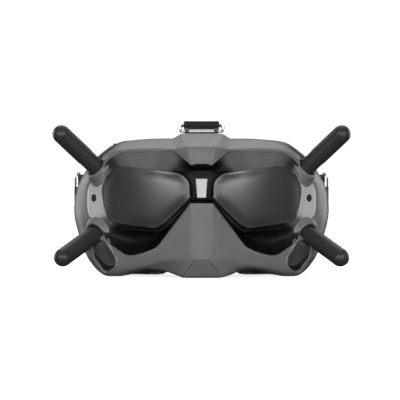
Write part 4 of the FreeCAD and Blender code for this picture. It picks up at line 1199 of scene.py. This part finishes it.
def make_back_pad():
    low, high = [to_model(corner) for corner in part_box("back_pad")]
    cx, cz = (low.x + high.x) / 2, (low.z + high.z) / 2
    profile = ((-2.4, low.y + 1.0), (-0.9, low.y + 1.8), (-0.6, (low.y + high.y) / 2),
               (-0.9, high.y - 1.6), (-2.4, high.y - 0.8))
    rows = []
    for grow, y in profile:
        outline = rounded_rectangle(60.0 + 2 * grow, 52.0 + 2 * grow, 14 + grow, 4)
        rows.append([Vector((cx + u, y, cz + v)) for u, v in outline])
    obj = ring_piece("back_cushion", rows, {}, levels=2, through=False, cap=end_caps)
    swell(obj, 0.0025, 0.0008)
    return dressed(obj, PAD)


def piping(name, loop, radius, material):
    """Sewn cord along the edge of a pad."""
    curve = bpy.data.curves.new(name, "CURVE")
    curve.dimensions = "3D"
    spline = curve.splines.new("NURBS")
    spline.points.add(len(loop) - 1)
    for point, p in zip(spline.points, loop):
        point.co = (*to_frame(p), 1)
    spline.use_cyclic_u = True
    spline.order_u = 3
    curve.bevel_depth = radius * MM
    curve.bevel_resolution = 2
    cord = new_object(name, curve)
    mesh = final_mesh(cord)
    bpy.data.objects.remove(cord)
    mesh.materials.append(material)
    return smooth(new_object(name, mesh), 60)


foam = make_foam()
hand_over(foam, "foam_pad")
welt_line = scaled_loop(full_loop(FACE), 0.982, 0.978, 2.2)
hand_over(piping("face_foam_piping", welt_line, 0.55, FOAM))
cushion = make_back_pad()
hand_over(cushion, "back_pad")

# ---- CAD nodes that stay ----
KEPT = {
    "cover_screws": SCREW, "face_frame": BLACK_AND_PAINTED_SHADE, "guide_rods": SATIN, "main_board": BOARD,
    "heat_sink": ALUMINIUM, "fan_housing": BLACK_AND_PAINTED_SHADE, "fan_rotor": BLACK_AND_PAINTED_SHADE, "button_board": BOARD,
    "record_button": ACCENT, "back_button": BUTTON, "link_button": BUTTON, "stick_plunger": SATIN,
    "stick_gimbal": SATIN, "stick_cap": BUTTON, "channel_up_button": BUTTON,
    "channel_down_button": BUTTON, "channel_display": DIGITS, "port_block": BLACK_AND_PAINTED_SHADE,
    "top_ring": STEEL, "top_bracket": HOUSING_REAR, "strap_adjusters": ANTENNA, "antenna_bushes": SCREW,
}
for name in SIDES:
    KEPT["intake_grille_" + name] = GRILLE
    KEPT["lens_barrel_" + name] = BLACK_AND_PAINTED_SHADE
    KEPT["eye_lens_" + name] = LENS
    KEPT["display_panel_" + name] = SCREEN
    # the IPD sliders are black so that they sink into the shade under the housing: painted shade
    KEPT["ipd_slider_" + name] = BLACK_AND_PAINTED_SHADE
    KEPT["side_ring_" + name] = STEEL
    KEPT["side_lug_" + name] = HOUSING_REAR
    for level in MOUNTS:
        KEPT[f"antenna_neck_{level}_{name}"] = ANTENNA
        KEPT[f"antenna_pin_{level}_{name}"] = SATIN
        KEPT[f"antenna_barrel_{level}_{name}"] = ANTENNA
for node, material in KEPT.items():
    obj = frame["nodes"][node]
    obj.data.materials.clear()
    obj.data.materials.append(material)


# ---- stage, light and camera ----
WHITE = (1, 1, 1, 1)


def make_stage():
    mesh = bpy.data.meshes.new("floor")
    mesh.from_pydata([(-6, -6, 0), (6, -6, 0), (6, 6, 0), (-6, 6, 0)], [], [(0, 1, 2, 3)])
    floor = new_object("floor", mesh)
    material, tree, shader = nodes_of("floor_pale")
    set_inputs(shader, {"Base Color": (0.92, 0.92, 0.92, 1), "Roughness": 0.8,
                        "Specular IOR Level": 0.1, "Emission Color": WHITE})
    where = tree.nodes.new("ShaderNodeTexCoord")
    reach = tree.nodes.new("ShaderNodeVectorMath")
    reach.operation = "LENGTH"
    fade = tree.nodes.new("ShaderNodeMapRange")
    set_inputs(fade, {"From Min": 0.1, "From Max": 0.5, "To Min": 0.78, "To Max": 1.1})
    tree.links.new(where.outputs["Object"], reach.inputs[0])
    tree.links.new(reach.outputs["Value"], fade.inputs["Value"])
    tree.links.new(fade.outputs["Result"], shader.inputs["Emission Strength"])
    mesh.materials.append(material)
    floor.visible_diffuse = False
    floor.visible_glossy = False


def area_light(name, place, aim, size, power, size_y):
    data = bpy.data.lights.new(name, "AREA")
    data.energy = power
    data.shape = "RECTANGLE"
    data.size = size
    data.size_y = size_y
    obj = new_object(name, data)
    obj.location = place
    obj.rotation_euler = (Vector(aim) - Vector(place)).to_track_quat("-Z", "Y").to_euler()


def make_light():
    world = bpy.data.worlds.new("studio")
    bpy.context.scene.world = world
    world.use_nodes = True
    tree = world.node_tree
    backdrop = tree.nodes["Background"]
    set_inputs(backdrop, {"Color": WHITE, "Strength": 1.05})
    room = tree.nodes.new("ShaderNodeBackground")
    set_inputs(room, {"Color": WHITE, "Strength": 0.05})
    path = tree.nodes.new("ShaderNodeLightPath")
    mix = tree.nodes.new("ShaderNodeMixShader")
    tree.links.new(path.outputs["Is Camera Ray"], mix.inputs["Fac"])
    tree.links.new(room.outputs["Background"], mix.inputs[1])
    tree.links.new(backdrop.outputs["Background"], mix.inputs[2])
    tree.links.new(mix.outputs["Shader"], tree.nodes["World Output"].inputs["Surface"])
    middle = to_frame((0, -10, 55))
    area_light("top_soft", (0, 0.1, 1.3), middle, 1.4, 2.6, 0.9)
    area_light("back_soft", (0, 0.9, 1.1), middle, 1.4, 7.0, 0.7)
    for side in SIDES.values():
        area_light("rim_soft", (side * 1.05, 0.75, 0.25), middle, 0.8, 7.0, 0.8)
        area_light("front_soft", (side * 0.65, -1.15, 0.25), middle, 0.45, 5.6, 0.5)
        area_light("near_soft", (side * 0.28, -1.3, 0.1), middle, 0.35, 2.6, 0.4)


def make_camera():
    distance, field = 1400.0, 284.0
    data = bpy.data.cameras.new("camera")
    data.sensor_width = 36.0
    data.lens = 36.0 * distance / field
    data.clip_start = 0.05
    data.clip_end = 30
    camera = new_object("camera", data)
    camera.location = to_frame((-1.07, -distance, 53.5))
    camera.rotation_euler = (math.radians(90), 0, 0)
    bpy.context.scene.camera = camera


make_stage()
make_light()
make_camera()
bpy.context.scene.view_settings.view_transform = "Standard"

bpy.context.view_layer.update()
